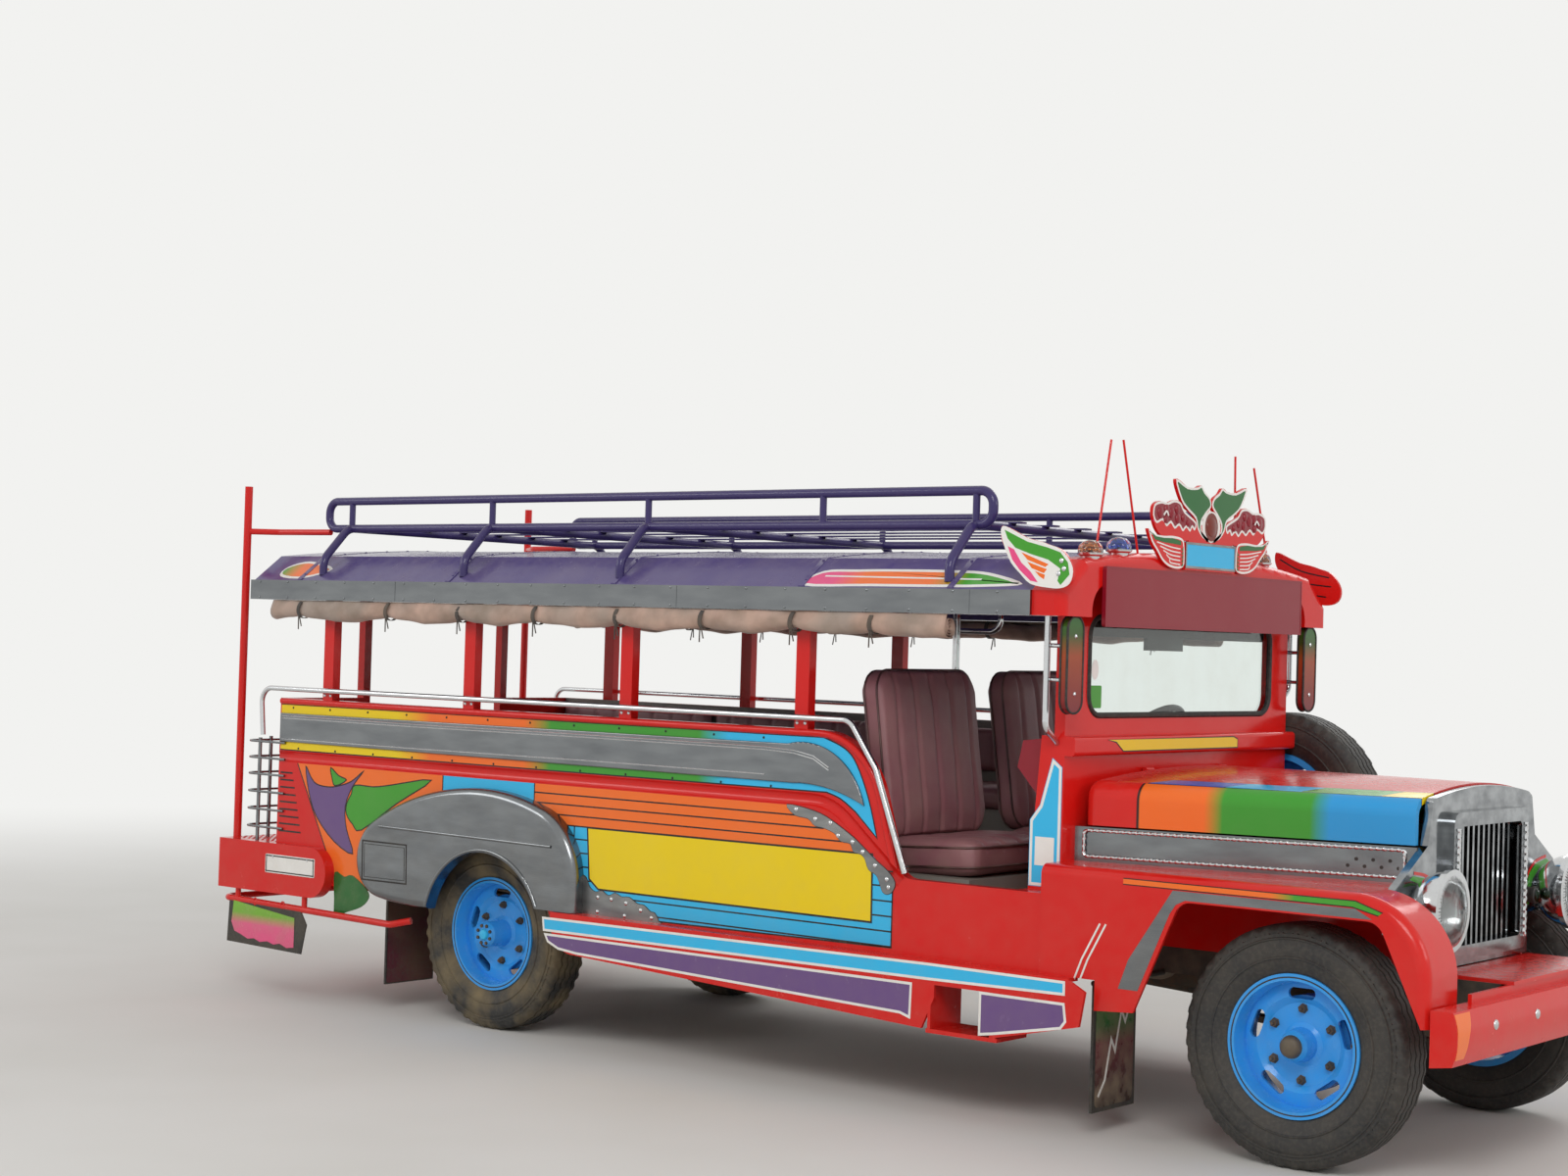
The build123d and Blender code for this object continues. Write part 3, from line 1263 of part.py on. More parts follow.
column_y = 380
wheel_centre = (scuttle_x - 400, column_y, 1225)
column_foot = (scuttle_x - 45, column_y, 900)
column_run = Vector(*column_foot) - Vector(*wheel_centre)
column_axis = column_run.normalized()
hub_face = Vector(*wheel_centre) + column_axis * 30
column_radius = 22
grip_radius = 13
boss_radius = 38
boss_depth = 45.5
spoke_count = 3
spoke_width = 30
spoke_thick = 12
with BuildPart() as steering_column:
    with BuildSketch(Plane(origin=hub_face, z_dir=column_axis)):
        Circle(column_radius)
    extrude(amount=column_run.length + 10)
    add(scuttle.part, mode=Mode.SUBTRACT)
    add(dashboard.part, mode=Mode.SUBTRACT)
finish(steering_column.part, "steering_column")

with BuildPart() as steering_wheel:
    with BuildSketch(Plane(origin=wheel_centre, x_dir=(0, 1, 0), z_dir=Vector(0, 1, 0).cross(column_axis))):
        with Locations((steering_wheel_radius, 0)):
            Circle(grip_radius)
    revolve(axis=Axis(wheel_centre, column_axis))
    boss_top = Vector(*wheel_centre) - column_axis * 16
    with BuildSketch(Plane(origin=boss_top, x_dir=(0, 1, 0), z_dir=column_axis)):
        Circle(boss_radius)
    extrude(amount=boss_depth)
    spoke_top = Vector(*wheel_centre) - column_axis * 7
    with BuildSketch(Plane(origin=spoke_top, x_dir=(0, 1, 0), z_dir=column_axis)):
        with PolarLocations(0, spoke_count, start_angle=90):
            with Locations((steering_wheel_radius / 2, 0)):
                Rectangle(steering_wheel_radius, spoke_width)
    extrude(amount=spoke_thick)
finish(steering_wheel.part, "steering_wheel")

fork_gap = 1
fork_thick = 28
fork_width = 66
fork_high = knuckle_z + eye_half + fork_gap
fork_low = knuckle_z - eye_half - fork_gap
spindle_in = kingpin_y + 42
spindle_web = 10
spindle_flange = 8
arm_thick = 18
arm_width = 30
arm_eye = 22
rod_pin = 9
for side, name in ((-1, "right_knuckle"), (1, "left_knuckle")):
    with BuildPart() as knuckle:
        for ear_z in (fork_low - fork_thick, fork_high):
            with BuildSketch(Plane.XY.offset(ear_z)):
                with Locations((front_axle_x, side * kingpin_y)):
                    Circle(eye_radius)
                with Locations((front_axle_x, side * (kingpin_y + spindle_in) / 2)):
                    Rectangle(fork_width, spindle_in - kingpin_y + 20)
                with Locations((front_axle_x, side * kingpin_y)):
                    Circle(kingpin_radius + pin_play, mode=Mode.SUBTRACT)
            extrude(amount=fork_thick)
        with Locations((front_axle_x, side * (spindle_in + spindle_web / 2), knuckle_z)):
            Box(fork_width, spindle_web, fork_high - fork_low + 2 * fork_thick)
        with BuildSketch(face_plane(front_axle_x, side * spindle_in, wheel_z, side)):
            Circle(drum_radius - 20)
        extrude(amount=spindle_flange)
        with BuildSketch(face_plane(front_axle_x, side * spindle_in, wheel_z, side)):
            Circle(stub_radius)
        extrude(amount=wheel_y + stub_out - spindle_in)
        with BuildSketch(Plane.XY.offset(fork_low - fork_thick)):
            with Locations((front_axle_x - steer_arm, side * kingpin_y)):
                Circle(arm_eye)
            with Locations((front_axle_x - steer_arm / 2 - 15, side * kingpin_y)):
                Rectangle(steer_arm - 34, arm_width)
            with Locations((front_axle_x - steer_arm, side * kingpin_y)):
                Circle(rod_pin + pin_play, mode=Mode.SUBTRACT)
        extrude(amount=arm_thick)
    finish(knuckle.part, name)

rod_z = fork_low - fork_thick - tie_rod_radius - 8
with BuildPart() as tie_rod:
    with Locations((front_axle_x - steer_arm, 0, rod_z)):
        Cylinder(tie_rod_radius, 2 * kingpin_y, rotation=(90, 0, 0))
    for side in sides:
        with Locations((front_axle_x - steer_arm, side * kingpin_y, rod_z)):
            Cylinder(arm_eye - 2, 2 * tie_rod_radius + 4)
        with Locations((front_axle_x - steer_arm, side * kingpin_y, rod_z + 26)):
            Cylinder(rod_pin, 2 * arm_thick)
finish(tie_rod.part, "tie_rod")

# Wheels

vent_circle = 158
vent_count = 5
vent_length = 92
vent_width = 34
tyre_half = tyre_width / 2
bead_half = 66          # half width of the tyre at its beads
flange_half = 75
tread_edge = 60
shoulder_half = 78
bulge_radius = 305      # where the side wall stands out most


def build_tyre(x, y, z, side):
    with BuildPart() as tyre:
        with BuildSketch(axle_plane(x, y, z, side)):
            with BuildLine():
                bead = Line((-bead_half, rim_radius - 18), (bead_half, rim_radius - 18))
                rise = Line(bead @ 1, (bead_half, rim_radius + 2))
                wall_out = ThreePointArc(rise @ 1, (tyre_half, bulge_radius), (shoulder_half, tyre_radius - 8))
                shoulder = ThreePointArc(wall_out @ 1, (shoulder_half - 6, tyre_radius - 2),
                                         (tread_edge, tyre_radius))
                tread = Line(shoulder @ 1, (-tread_edge, tyre_radius))
                shoulder_in = ThreePointArc(tread @ 1, (6 - shoulder_half, tyre_radius - 2),
                                            (-shoulder_half, tyre_radius - 8))
                wall_in = ThreePointArc(shoulder_in @ 1, (-tyre_half, bulge_radius),
                                        (-bead_half, rim_radius + 2))
                Line(wall_in @ 1, bead @ 0)
            make_face()
        revolve(axis=Axis((x, y, z), (0, 1, 0)))
    return tyre.part


def build_rim(x, y, z, side, hub_out):
    # hub_out is how far the hub stands out from the wheel's centre plane, 0 for a bare wheel
    with BuildPart() as rim:
        with BuildSketch(axle_plane(x, y, z, side)):
            with BuildLine():
                Polyline(
                    (-flange_half, rim_radius), (-flange_half, rim_radius - 22), (-30, rim_radius - 32),
                    (30, rim_radius - 32), (flange_half, rim_radius - 22), (flange_half, rim_radius),
                    (bead_half, rim_radius), (bead_half, rim_radius - 18), (-bead_half, rim_radius - 18),
                    (-bead_half, rim_radius), close=True,
                )
            make_face()
            with BuildLine():
                Polyline(
                    (2, rim_radius - 28), (14, rim_radius - 28), (22, 150), (6, 128), (6, 60), (-4, 60),
                    (-4, 132), (10, 152), close=True,
                )
            make_face()
        revolve(axis=Axis((x, y, z), (0, 1, 0)))
        with BuildSketch(face_plane(x, y + side * 40, z, side)):
            with PolarLocations(vent_circle, vent_count, start_angle=90):
                SlotOverall(vent_length, vent_width, rotation=90)
        extrude(amount=-50, mode=Mode.SUBTRACT)
        if hub_out:
            bore = stub_radius + pin_play
            with BuildSketch(axle_plane(x, y, z, side)):
                with BuildLine():
                    Polyline(
                        (hub_out, 0), (hub_out, hub_radius - 22), (hub_out - 12, hub_radius - 14),
                        (14, hub_radius - 8), (6, hub_radius + 6), (-4, 80), (-16, 80), (-16, drum_radius),
                        (-82, drum_radius), (-82, drum_radius - 14), (-30, drum_radius - 14), (-30, 70),
                        (-60, 60), (-60, bore),
                        (stub_out + gap, bore), (stub_out + gap, 0), close=True,
                    )
                make_face()
            revolve(axis=Axis((x, y, z), (0, 1, 0)))
    return rim.part


# wheel: name, place along X, side, how far its hub stands out
wheel_table = [
    ("front_right", front_axle_x, -1, 80),
    ("front_left", front_axle_x, 1, 80),
    ("rear_right", rear_axle_x, -1, 112),
    ("rear_left", rear_axle_x, 1, 112),
]
for name, wheel_x, side, hub_out in wheel_table:
    finish(build_tyre(wheel_x, side * wheel_y, wheel_z, side), name + "_tyre")
    finish(build_rim(wheel_x, side * wheel_y, wheel_z, side, hub_out), name + "_rim")
finish(build_tyre(spare_x, spare_y, spare_z, 1), "spare_tyre")
finish(build_rim(spare_x, spare_y, spare_z, 1, 0), "spare_rim")
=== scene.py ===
import math
import random

import bmesh
import bpy
from mathutils import Matrix, Vector


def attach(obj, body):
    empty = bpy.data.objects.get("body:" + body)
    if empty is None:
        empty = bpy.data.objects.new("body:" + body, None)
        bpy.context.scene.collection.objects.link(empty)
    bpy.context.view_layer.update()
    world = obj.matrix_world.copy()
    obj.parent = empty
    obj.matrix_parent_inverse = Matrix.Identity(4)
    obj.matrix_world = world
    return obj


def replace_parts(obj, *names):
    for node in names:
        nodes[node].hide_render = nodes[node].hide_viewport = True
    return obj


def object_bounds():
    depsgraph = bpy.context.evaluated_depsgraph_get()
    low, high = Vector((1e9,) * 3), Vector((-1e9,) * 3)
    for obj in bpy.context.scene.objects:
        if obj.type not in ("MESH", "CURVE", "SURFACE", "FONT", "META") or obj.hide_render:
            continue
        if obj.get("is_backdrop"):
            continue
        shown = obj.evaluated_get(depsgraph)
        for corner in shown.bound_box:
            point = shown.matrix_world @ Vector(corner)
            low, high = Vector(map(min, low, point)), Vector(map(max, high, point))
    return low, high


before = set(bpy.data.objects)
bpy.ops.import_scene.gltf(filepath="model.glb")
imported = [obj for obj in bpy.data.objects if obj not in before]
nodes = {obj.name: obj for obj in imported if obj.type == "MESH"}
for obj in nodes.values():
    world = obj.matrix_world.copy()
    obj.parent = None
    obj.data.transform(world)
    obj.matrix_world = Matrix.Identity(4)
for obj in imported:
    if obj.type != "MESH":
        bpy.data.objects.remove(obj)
cadLow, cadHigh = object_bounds()
print("frame loaded:", len(nodes), "nodes")

# Everything is in metres and in the row frame: +X forward, +Y to the left, +Z up, wheels on Z = 0.
# The right side, -Y, is the one that the camera sees.
bothSides = (-1, 1)


def hexColour(code):
    # an sRGB hex value as the linear colour that a shader takes
    channels = [int(code[i:i + 2], 16) / 255 for i in (1, 3, 5)]
    return [c / 12.92 if c < 0.04045 else ((c + 0.055) / 1.055) ** 2.4 for c in channels] + [1]


def feed(node, feeds):
    # set a node's inputs, by name or by place among those in use; another node or its output is linked
    inUse = [s for s in node.inputs if s.enabled]
    for key, value in feeds.items():
        socket = inUse[key] if isinstance(key, int) else node.inputs[key]
        if isinstance(value, bpy.types.Node):
            value = next(s for s in value.outputs if s.enabled)
        if isinstance(value, bpy.types.NodeSocket):
            node.id_data.links.new(value, socket)
        else:
            socket.default_value = hexColour(value) if isinstance(value, str) else value


def addNode(near, kind, *feeds, **settings):
    # one shader node in the tree of a node or socket near it, its inputs in order or in a dictionary by name
    node = near.id_data.nodes.new("ShaderNode" + kind)
    for key, value in settings.items():
        setattr(node, key, value)
    for number, value in enumerate(feeds):
        feed(node, value if isinstance(value, dict) else {number: value})
    return node


def newFinish(name):
    # an empty material, its shader and the row-frame position on the piece
    material = bpy.data.materials.new(name)
    material.use_nodes = True
    material.node_tree.nodes.clear()
    shader = addNode(material.node_tree, "BsdfPrincipled")
    addNode(shader, "OutputMaterial", {"Surface": shader})
    return material, shader, addNode(shader, "TexCoord").outputs["Object"]


def patches(place, size, low=0.35, high=0.65, detail=3, stretch=(1, 1, 1), least=0, most=1):
    # uneven patches from least to most, about size metres across, squeezed along an axis if asked
    squeezed = addNode(place, "Mapping", {"Vector": place, "Scale": stretch})
    noise = addNode(place, "TexNoise", {"Vector": squeezed, "Scale": 1 / size, "Detail": detail})
    return addNode(place, "MapRange", noise, low, high, least, most)


def roadDust(place, amount, lowZ=0.1, highZ=1.3):
    # dust that settles on what faces up and thickens toward the ground, in patches of about 60 mm
    height = addNode(place, "SeparateXYZ", place).outputs[2]
    facing = addNode(place, "SeparateXYZ", addNode(place, "NewGeometry").outputs["Normal"]).outputs[2]
    upward = addNode(place, "MapRange", facing, 0.35, 1, 0, 0.6)
    spray = addNode(place, "MapRange", height, highZ, lowZ)
    settled = addNode(place, "Math", spray, upward, operation="MAXIMUM")
    spotty = patches(place, 0.06, 0.3, 0.75, 5, most=amount)
    return addNode(place, "Math", settled, spotty, operation="MULTIPLY")


def underDust(shader, tones, rough, dust, relief, depth, plain={}, dustColour="#A3937A", dustRough=0.85):
    # tones as share, first and second colour, and the roughness, under a coat of dust; depth in metres
    tone = addNode(shader, "Mix", *tones, data_type="RGBA")
    feed(shader, {
        "Base Color": addNode(shader, "Mix", dust, tone, dustColour, data_type="RGBA"),
        "Roughness": addNode(shader, "Mix", dust, rough, dustRough),
        "Normal": addNode(shader, "Bump", {"Height": relief, "Distance": depth}), **plain})


def enamelCoat(shader, place, colour, rough=0.16, dust=0.1, fade=0.012):
    # brushed and sprayed alkyd enamel over steel: a glossy film with orange peel 5 mm across,
    # slightly chalked where the sun has had it
    faded = (patches(place, 0.3, most=fade), colour, "#E8DCCB")
    uneven = patches(place, 0.03, least=rough * 0.85, most=rough * 1.5)
    underDust(shader, faded, uneven, roadDust(place, dust), patches(place, 0.005, 0.3, 0.7, 1), 0.00004,
              {"Coat Weight": 0.1, "Coat Roughness": 0.06, "IOR": 1.5, "Specular IOR Level": 0.28})


def sprayedColours(along, stops):
    # colours that follow each other along a coordinate, each from its place in metres
    first, last = stops[0][0], stops[-1][0]
    colours = addNode(along, "ValToRGB", addNode(along, "MapRange", along, first, last))
    elements = colours.color_ramp.elements
    while len(elements) < len(stops):
        elements.new(0.5)
    for element, (at, code) in zip(elements, stops):
        element.position = (at - first) / (last - first)
        element.color = hexColour(code)
    return colours


def enamel(name, colour, axis=0, **wear):
    # a list of (place, colour) in place of one colour is sprayed along an axis, each running into the next
    material, shader, place = newFinish(name)
    if isinstance(colour, list):
        colour = sprayedColours(addNode(place, "SeparateXYZ", place).outputs[axis], colour)
    enamelCoat(shader, place, colour, **wear)
    return material


def stainlessSheet(name, tint="#85888A", rough=0.17, dust=0.3, waves=0.002):
    # Hand-formed stainless sheet, mill finished and buffed: near a mirror but wavy over spans
    # of about 200 mm, with fine lengthwise rub marks and smeared dust
    # The tint is darker than bare steel: a painted reflection of dark surroundings, put into the colour
    material, shader, place = newFinish(name)
    smears = {"size": 0.07, "low": 0.35, "high": 0.75, "detail": 5, "stretch": (0.4, 1, 1.6)}
    smeared = (patches(place, **smears), tint, "#74777A")
    uneven = patches(place, **smears, least=rough * 0.7, most=rough * 1.4)
    rubs = patches(place, 0.004, 0.3, 0.7, 2, (0.04, 1, 1))
    underDust(shader, smeared, uneven, roadDust(place, dust), rubs, 0.00002, {"Metallic": 1}, "#6F665A", 0.6)
    swell = patches(place, 0.2, 0.2, 0.8, 0, (0.6, 1, 1.5))
    wavy = addNode(place, "Bump", {"Height": swell, "Distance": waves})
    feed(shader.inputs["Normal"].links[0].from_node, {"Normal": wavy})
    return material


def platedChrome(name, rough=0.06, dust=0.3):
    # Decorative chrome plate: a sharp mirror dulled by pits 2 mm apart and water marks
    material, shader, place = newFinish(name)
    speckled = (patches(place, 0.002, 0.62, 0.7, 2, most=0.4), "#D4D6D8", "#6E5A45")
    uneven = patches(place, 0.03, 0.4, 0.75, 4, least=rough, most=rough * 3)
    underDust(shader, speckled, uneven, roadDust(place, dust), patches(place, 0.002, 0.62, 0.7, 2), -0.00006,
              {"Metallic": 1}, "#9C907C", 0.6)
    return material


def chassisCoat(name, colour, rough=0.5):
    # Thick brushed chassis enamel: satin and slightly lumpy, lumps 4 mm across, with caked dust in patches
    material, shader, place = newFinish(name)
    underDust(shader, (patches(place, 0.08, most=0.12), colour, "#8B7B63"), rough, roadDust(place, 0.8, 0, 1),
              patches(place, 0.004, 0.3, 0.7), 0.0001, {}, "#8B7B63")
    return material


def castIron(name, colour="#4A443D"):
    # Sand-cast iron: grains about 1.5 mm, drawn at 4 mm to show, dull grey with rust bloom and dust
    material, shader, place = newFinish(name)
    rusted = (patches(place, 0.03, 0.45, 0.7, 5), colour, "#5E4030")
    underDust(shader, rusted, 0.72, roadDust(place, 0.8, 0, 0.9), patches(place, 0.004, 0.3, 0.7, 4), 0.0004,
              {"Metallic": 0.35}, "#87765E")
    return material


def vulcanisedRubber(name, colour="#2B2A29", dust=0.3, dustColour="#6B6254", grain=0.003):
    # Moulded rubber: matt, greyed by ozone, with dried mud left in it in patches of 160 mm
    material, shader, place = newFinish(name)
    scuffed = (patches(place, 0.012, 0.45, 0.7, 5, most=0.5), colour, "#4B4740")
    underDust(shader, scuffed, 0.62, patches(place, 0.16, 0.38, 0.8, 6, most=dust),
              patches(place, grain, 0.3, 0.7, 4), 0.0002, {"IOR": 1.52}, dustColour, 0.95)
    return material


def grainedVinyl(name, colour, grain=0.005):
    # Embossed upholstery vinyl: pebbles 1.5 mm across, drawn at 5 mm so that they show, soft sheen
    material, shader, place = newFinish(name)
    cells = addNode(place, "TexVoronoi", {"Vector": place, "Scale": 1 / grain}, feature="DISTANCE_TO_EDGE")
    worn = (patches(place, 0.15, 0.4, 0.75, 4, most=0.4), colour, "#B08A84")
    pebbles = addNode(place, "MapRange", cells, 0, 0.25)
    underDust(shader, worn, 0.4, roadDust(place, 0.25, 0.4, 1.6), pebbles, 0.0003, {"IOR": 1.5})
    return material


def canvasCloth(name, colour, threads=0.003, dust=0.3, faded="#C9A796"):
    # Coated canvas: a plain weave of 0.8 mm threads, drawn at 3 mm so that it shows, soiled in blotches
    material, shader, place = newFinish(name)
    yarn = {"Vector": place, "Scale": 0.314 / threads}
    warp, weft = [addNode(place, "TexWave", yarn, bands_direction=way) for way in "XZ"]
    weave = addNode(place, "Math", warp.outputs["Fac"], weft.outputs["Fac"], operation="MULTIPLY")
    bleached = addNode(place, "Mix", patches(place, 0.25, 0.4, 0.6, 2), colour, faded, data_type="RGBA")
    soiled = (patches(place, 0.09, 0.4, 0.75, 5, most=0.55), bleached, "#75614E")
    underDust(shader, soiled, 0.8, roadDust(place, dust, 1.2, 2), weave, 0.0003,
              {"Sheen Weight": 0.3, "Sheen Roughness": 0.5})
    return material


def clearGlass(name, tint="#EAF3EF", rough=0.02, film=0.1):
    # Float glass, faintly green, with a film of dust in patches of 120 mm
    material, shader, place = newFinish(name)
    haze = patches(place, 0.12, 0.4, 0.8, 4, most=film)
    feed(shader, {"Base Color": addNode(place, "Mix", haze, tint, "#B5A892", data_type="RGBA"),
                  "Transmission Weight": 1, "Roughness": rough, "IOR": 1.45})
    return material


def ribbedGlass(name, tint="#F2F6F5", rib=0.009):
    # Pressed lamp glass: clear and thick, with upright flutes 9 mm apart that break up the bowl behind
    material, shader, place = newFinish(name)
    flutes = addNode(place, "TexWave", {"Vector": place, "Scale": 0.314 / rib}, bands_direction="Y")
    feed(shader, {"Base Color": tint, "Transmission Weight": 1, "Roughness": 0.06, "IOR": 1.45,
                  "Normal": addNode(place, "Bump", {"Height": flutes.outputs["Fac"], "Distance": 0.001})})
    return material


def mouldedPlastic(name, colour, rough=0.4):
    # Injection-moulded plastic: even colour, a fine matt texture 2 mm across, dulled by handling
    material, shader, place = newFinish(name)
    uneven = patches(place, 0.03, 0.4, 0.7, least=rough, most=rough * 1.5)
    grain = patches(place, 0.002, 0.3, 0.7)
    underDust(shader, (0, colour, colour), uneven, roadDust(place, 0.25), grain, 0.00004)
    return material


redEnamel = enamel("redEnamel", "#DA1612")
maroonEnamel = enamel("maroonEnamel", "#8E1628", dust=0.2)
orangeEnamel = enamel("orangeEnamel", "#FA7426")
blueEnamel = enamel("skyBlueEnamel", "#35BFF2")
yellowEnamel = enamel("yellowEnamel", "#F4D40D")
greenEnamel = enamel("greenEnamel", "#45A12E")
leafEnamel = enamel("leafGreenEnamel", "#1F6B2C", dust=0.2)
pinkEnamel = enamel("pinkEnamel", "#F0508A", dust=0.2)
purpleEnamel = enamel("purpleEnamel", "#6F5288")
whiteEnamel = enamel("whiteEnamel", "#F3F1EC", dust=0.3)
blackEnamel = enamel("blackEnamel", "#17161A", dust=0.2)
roofEnamel = enamel("roofPurpleEnamel", "#51447F", dust=0.2, fade=0.06)
rackEnamel = enamel("rackPurpleEnamel", "#3E3468", dust=0.3)
rimEnamel = enamel("rimBlueEnamel", "#2FA0F0", dust=0.15)
cabinEnamel = enamel("cabinGreyEnamel", "#8E8A84", rough=0.4, dust=0.5)
mirrorBrown = enamel("rustBrownEnamel", "#7A2A1C", dust=0.1)
mirrorEnamel = enamel("mirrorBackEnamel", [
    (1.37, "#7C1722"), (1.44, "#8A2A1E"), (1.56, "#A2461F"), (1.63, "#3C5A22"),
    (1.69, "#2F6E27")], 2, dust=0.1)
stripeEnamel = enamel("shadedStripeEnamel", [
    (-2.52, "#F2D20E"), (-1.75, "#F2D20E"), (-1.55, "#FA7426"), (-1.02, "#FA7426"), (-0.88, "#3F9C30"),
    (-0.12, "#3F9C30"), (0.02, "#35BFF2"), (0.7, "#35BFF2")])
fenderEnamel = enamel("fenderStripeEnamel", [
    (1.7, "#FA7426"), (2.22, "#FA7426"), (2.3, "#45A12E"), (2.59, "#45A12E")])
decalEnamel = enamel("decalShadedEnamel", [
    (-2.48, "#45A12E"), (-2.38, "#FA7426"), (-2.2, "#FA7426"), (0.38, "#F0508A"), (0.5, "#F0508A"),
    (0.62, "#FA7426"), (0.92, "#FA7426"), (1.06, "#45A12E"), (1.3, "#45A12E")], dust=0.1)
# the front flap's paint goes from green over maroon to near black towards the bottom
flapDarkerBelow = enamel("flapGreenEnamel", [
    (0.07, "#23201E"), (0.2, "#4A1822"), (0.3, "#6B1A2C"), (0.36, "#2F6B2A"), (0.48, "#3F8F2E")], 2, dust=0.6)
flapShaded = enamel("flapShadedEnamel", [
    (0.22, "#F0508A"), (0.3, "#E8688E"), (0.345, "#7DB53A"), (0.4, "#7FBF3A")], 2, dust=0.3)
# these stainless tints are darker than bare steel, as painted reflection of dark surroundings
stainless = stainlessSheet("buffedStainless")
polishedStainless = stainlessSheet("polishedStainless", "#A6A9AB", 0.1, 0.25, 0.001)
galvanised = stainlessSheet("brushedSteelStrip", "#9A9B9A", 0.32, 0.4, 0.0005)
chrome = platedChrome("platedChrome")
chassisPaint = chassisCoat("chassisBlackEnamel", "#1D1C1D")
springSteel = chassisCoat("springSteel", "#3B3631", 0.45)
exhaustSteel = chassisCoat("aluminisedExhaustSteel", "#77695C", 0.55)
radiatorPaint = chassisCoat("radiatorBlackEnamel", "#3A3A3A", 0.6)
castParts = castIron("sandCastIron")
flapRubber = vulcanisedRubber("flapRubber", "#2A2826", 0.55)
tyreRubber = vulcanisedRubber("tyreRubber")
muddyRubber = vulcanisedRubber("muddyTyreRubber", "#2B2A29", 0.95, "#94825F")  # on the rear tyres
cakedRubber = vulcanisedRubber("mudCakedRubber", "#5A2230", 0.9, "#5F4E38", 0.012)  # maroon flap
gasketRubber = vulcanisedRubber("gasketRubber", "#161616", 0.15)
seatVinyl = grainedVinyl("burgundyVinyl", "#98626A")
pipingVinyl = grainedVinyl("pipingVinyl", "#3F1A1F", 0.004)
curtainCanvas = canvasCloth("rolledCanvas", "#A8968A")
tieWebbing = canvasCloth("tieWebbing", "#2E2A28", 0.002, 0.2, "#3A3633")
glass = clearGlass("laminatedGlass")
blueLens = clearGlass("blueLensGlass", "#2148C8", 0.05, 0.05)
amberLens = clearGlass("amberLensGlass", "#E5761C", 0.05, 0.05)
greenLens = clearGlass("greenLensGlass", "#1F9A3C", 0.05, 0.05)
redLens = clearGlass("redLensGlass", "#C8141A", 0.05, 0.05)
lampGlass = ribbedGlass("pressedLampGlass")
wheelPlastic = mouldedPlastic("blackWheelPlastic", "#1B1B1C")
print("finishes made")

nodeFinish = {
    chassisPaint: "chassis_frame drive_shaft fuel_tank steering_column",
    castParts: "engine_block rear_axle front_axle right_knuckle left_knuckle tie_rod",
    springSteel: "leaf_springs",
    exhaustSteel: "exhaust_pipe",
    radiatorPaint: "radiator",
    cabinEnamel: "floor_pan benches seat_bases",
    stainless: "side_walls roof_fascia hood_sides rear_fenders rear_guards",
    polishedStainless: "grille_shell",
    redEnamel: "side_posts rear_walls rear_step rear_poles windshield_frame scuttle front_visor front_fenders"
               " front_bumper hood side_skirts roof_ornaments",
    roofEnamel: "roof_shell",
    rackEnamel: "roof_rack",
    # the dashboard's dark maroon is painted shade, standing for the dim cab seen through the door
    maroonEnamel: "sign_board dashboard",
    mirrorEnamel: "mirrors",
    chrome: "headlamps belt_rails handrails",
    flapRubber: "mud_flaps",
    glass: "windshield_glass",
    seatVinyl: "bench_cushions front_seats",
    curtainCanvas: "rolled_curtains",
    wheelPlastic: "steering_wheel",
    tyreRubber: "front_right_tyre front_left_tyre rear_right_tyre rear_left_tyre spare_tyre",
    rimEnamel: "front_right_rim front_left_rim rear_right_rim rear_left_rim spare_rim",
}
for material, names in nodeFinish.items():
    for name in names.split():
        nodes[name].data.materials.clear()
        nodes[name].data.materials.append(material)
print("finishes given to the frame")

studio = {
    "floor": ("#E6E4E0", "#E0DED9"),
    "backdrop": "#F2F2F0",
    "worldLevel": 0.5,
    "floorFades": (4.5, 13.0),      # metres from the object's middle
    # softbox: place, aimed at, size, power in watts
    "softboxes": {
        "key": ((6.5, -9.0, 7.5), (0.3, 0, 0.8), 5.0, 430),
        "fill": ((-8.0, -8.0, 5.5), (-0.5, 0, 0.9), 5.0, 170),
        "rim": ((0.0, 9.0, 7.0), (0, 0, 1), 5.0, 170),
        "front": ((10.0, 1.5, 4.5), (1.5, 0, 0.9), 4.0, 120),
    },
}


def seenShare(near):
    # 1 for rays that come from the camera, from a mirror or through glass
    rays = addNode(near, "LightPath").outputs
    seen = addNode(near, "Math", rays["Is Camera Ray"], rays["Is Glossy Ray"], operation="MAXIMUM")
    return addNode(near, "Math", seen, rays["Is Transmission Ray"], operation="MAXIMUM")


# The floor is matt painted board. Far from the object, the camera and mirrors see the backdrop's colour
# there in place of it, so that it has no horizon.
floorMaterial, shader, place = newFinish("studioFloor")
feed(shader, {"Base Color": addNode(place, "Mix", patches(place, 1.5), *studio["floor"], data_type="RGBA"),
              "Roughness": 0.7})
away = addNode(place, "VectorMath", place, operation="LENGTH").outputs["Value"]
far = addNode(place, "MapRange", away, *studio["floorFades"], interpolation_type="SMOOTHSTEP")
faded = addNode(place, "Math", seenShare(place), far, operation="MULTIPLY")
glow = addNode(place, "Emission", studio["backdrop"], 1)
output = shader.outputs[0].links[0].to_node
feed(output, {"Surface": addNode(place, "MixShader", faded, shader, glow)})
bpy.ops.mesh.primitive_circle_add(vertices=96, radius=60, fill_type="NGON")
floor = bpy.context.object
floor.name = "studioFloor"
floor.data.materials.append(floorMaterial)
floor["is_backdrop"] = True

world = bpy.data.worlds.new("studioWorld")
bpy.context.scene.world = world
world.use_nodes = True
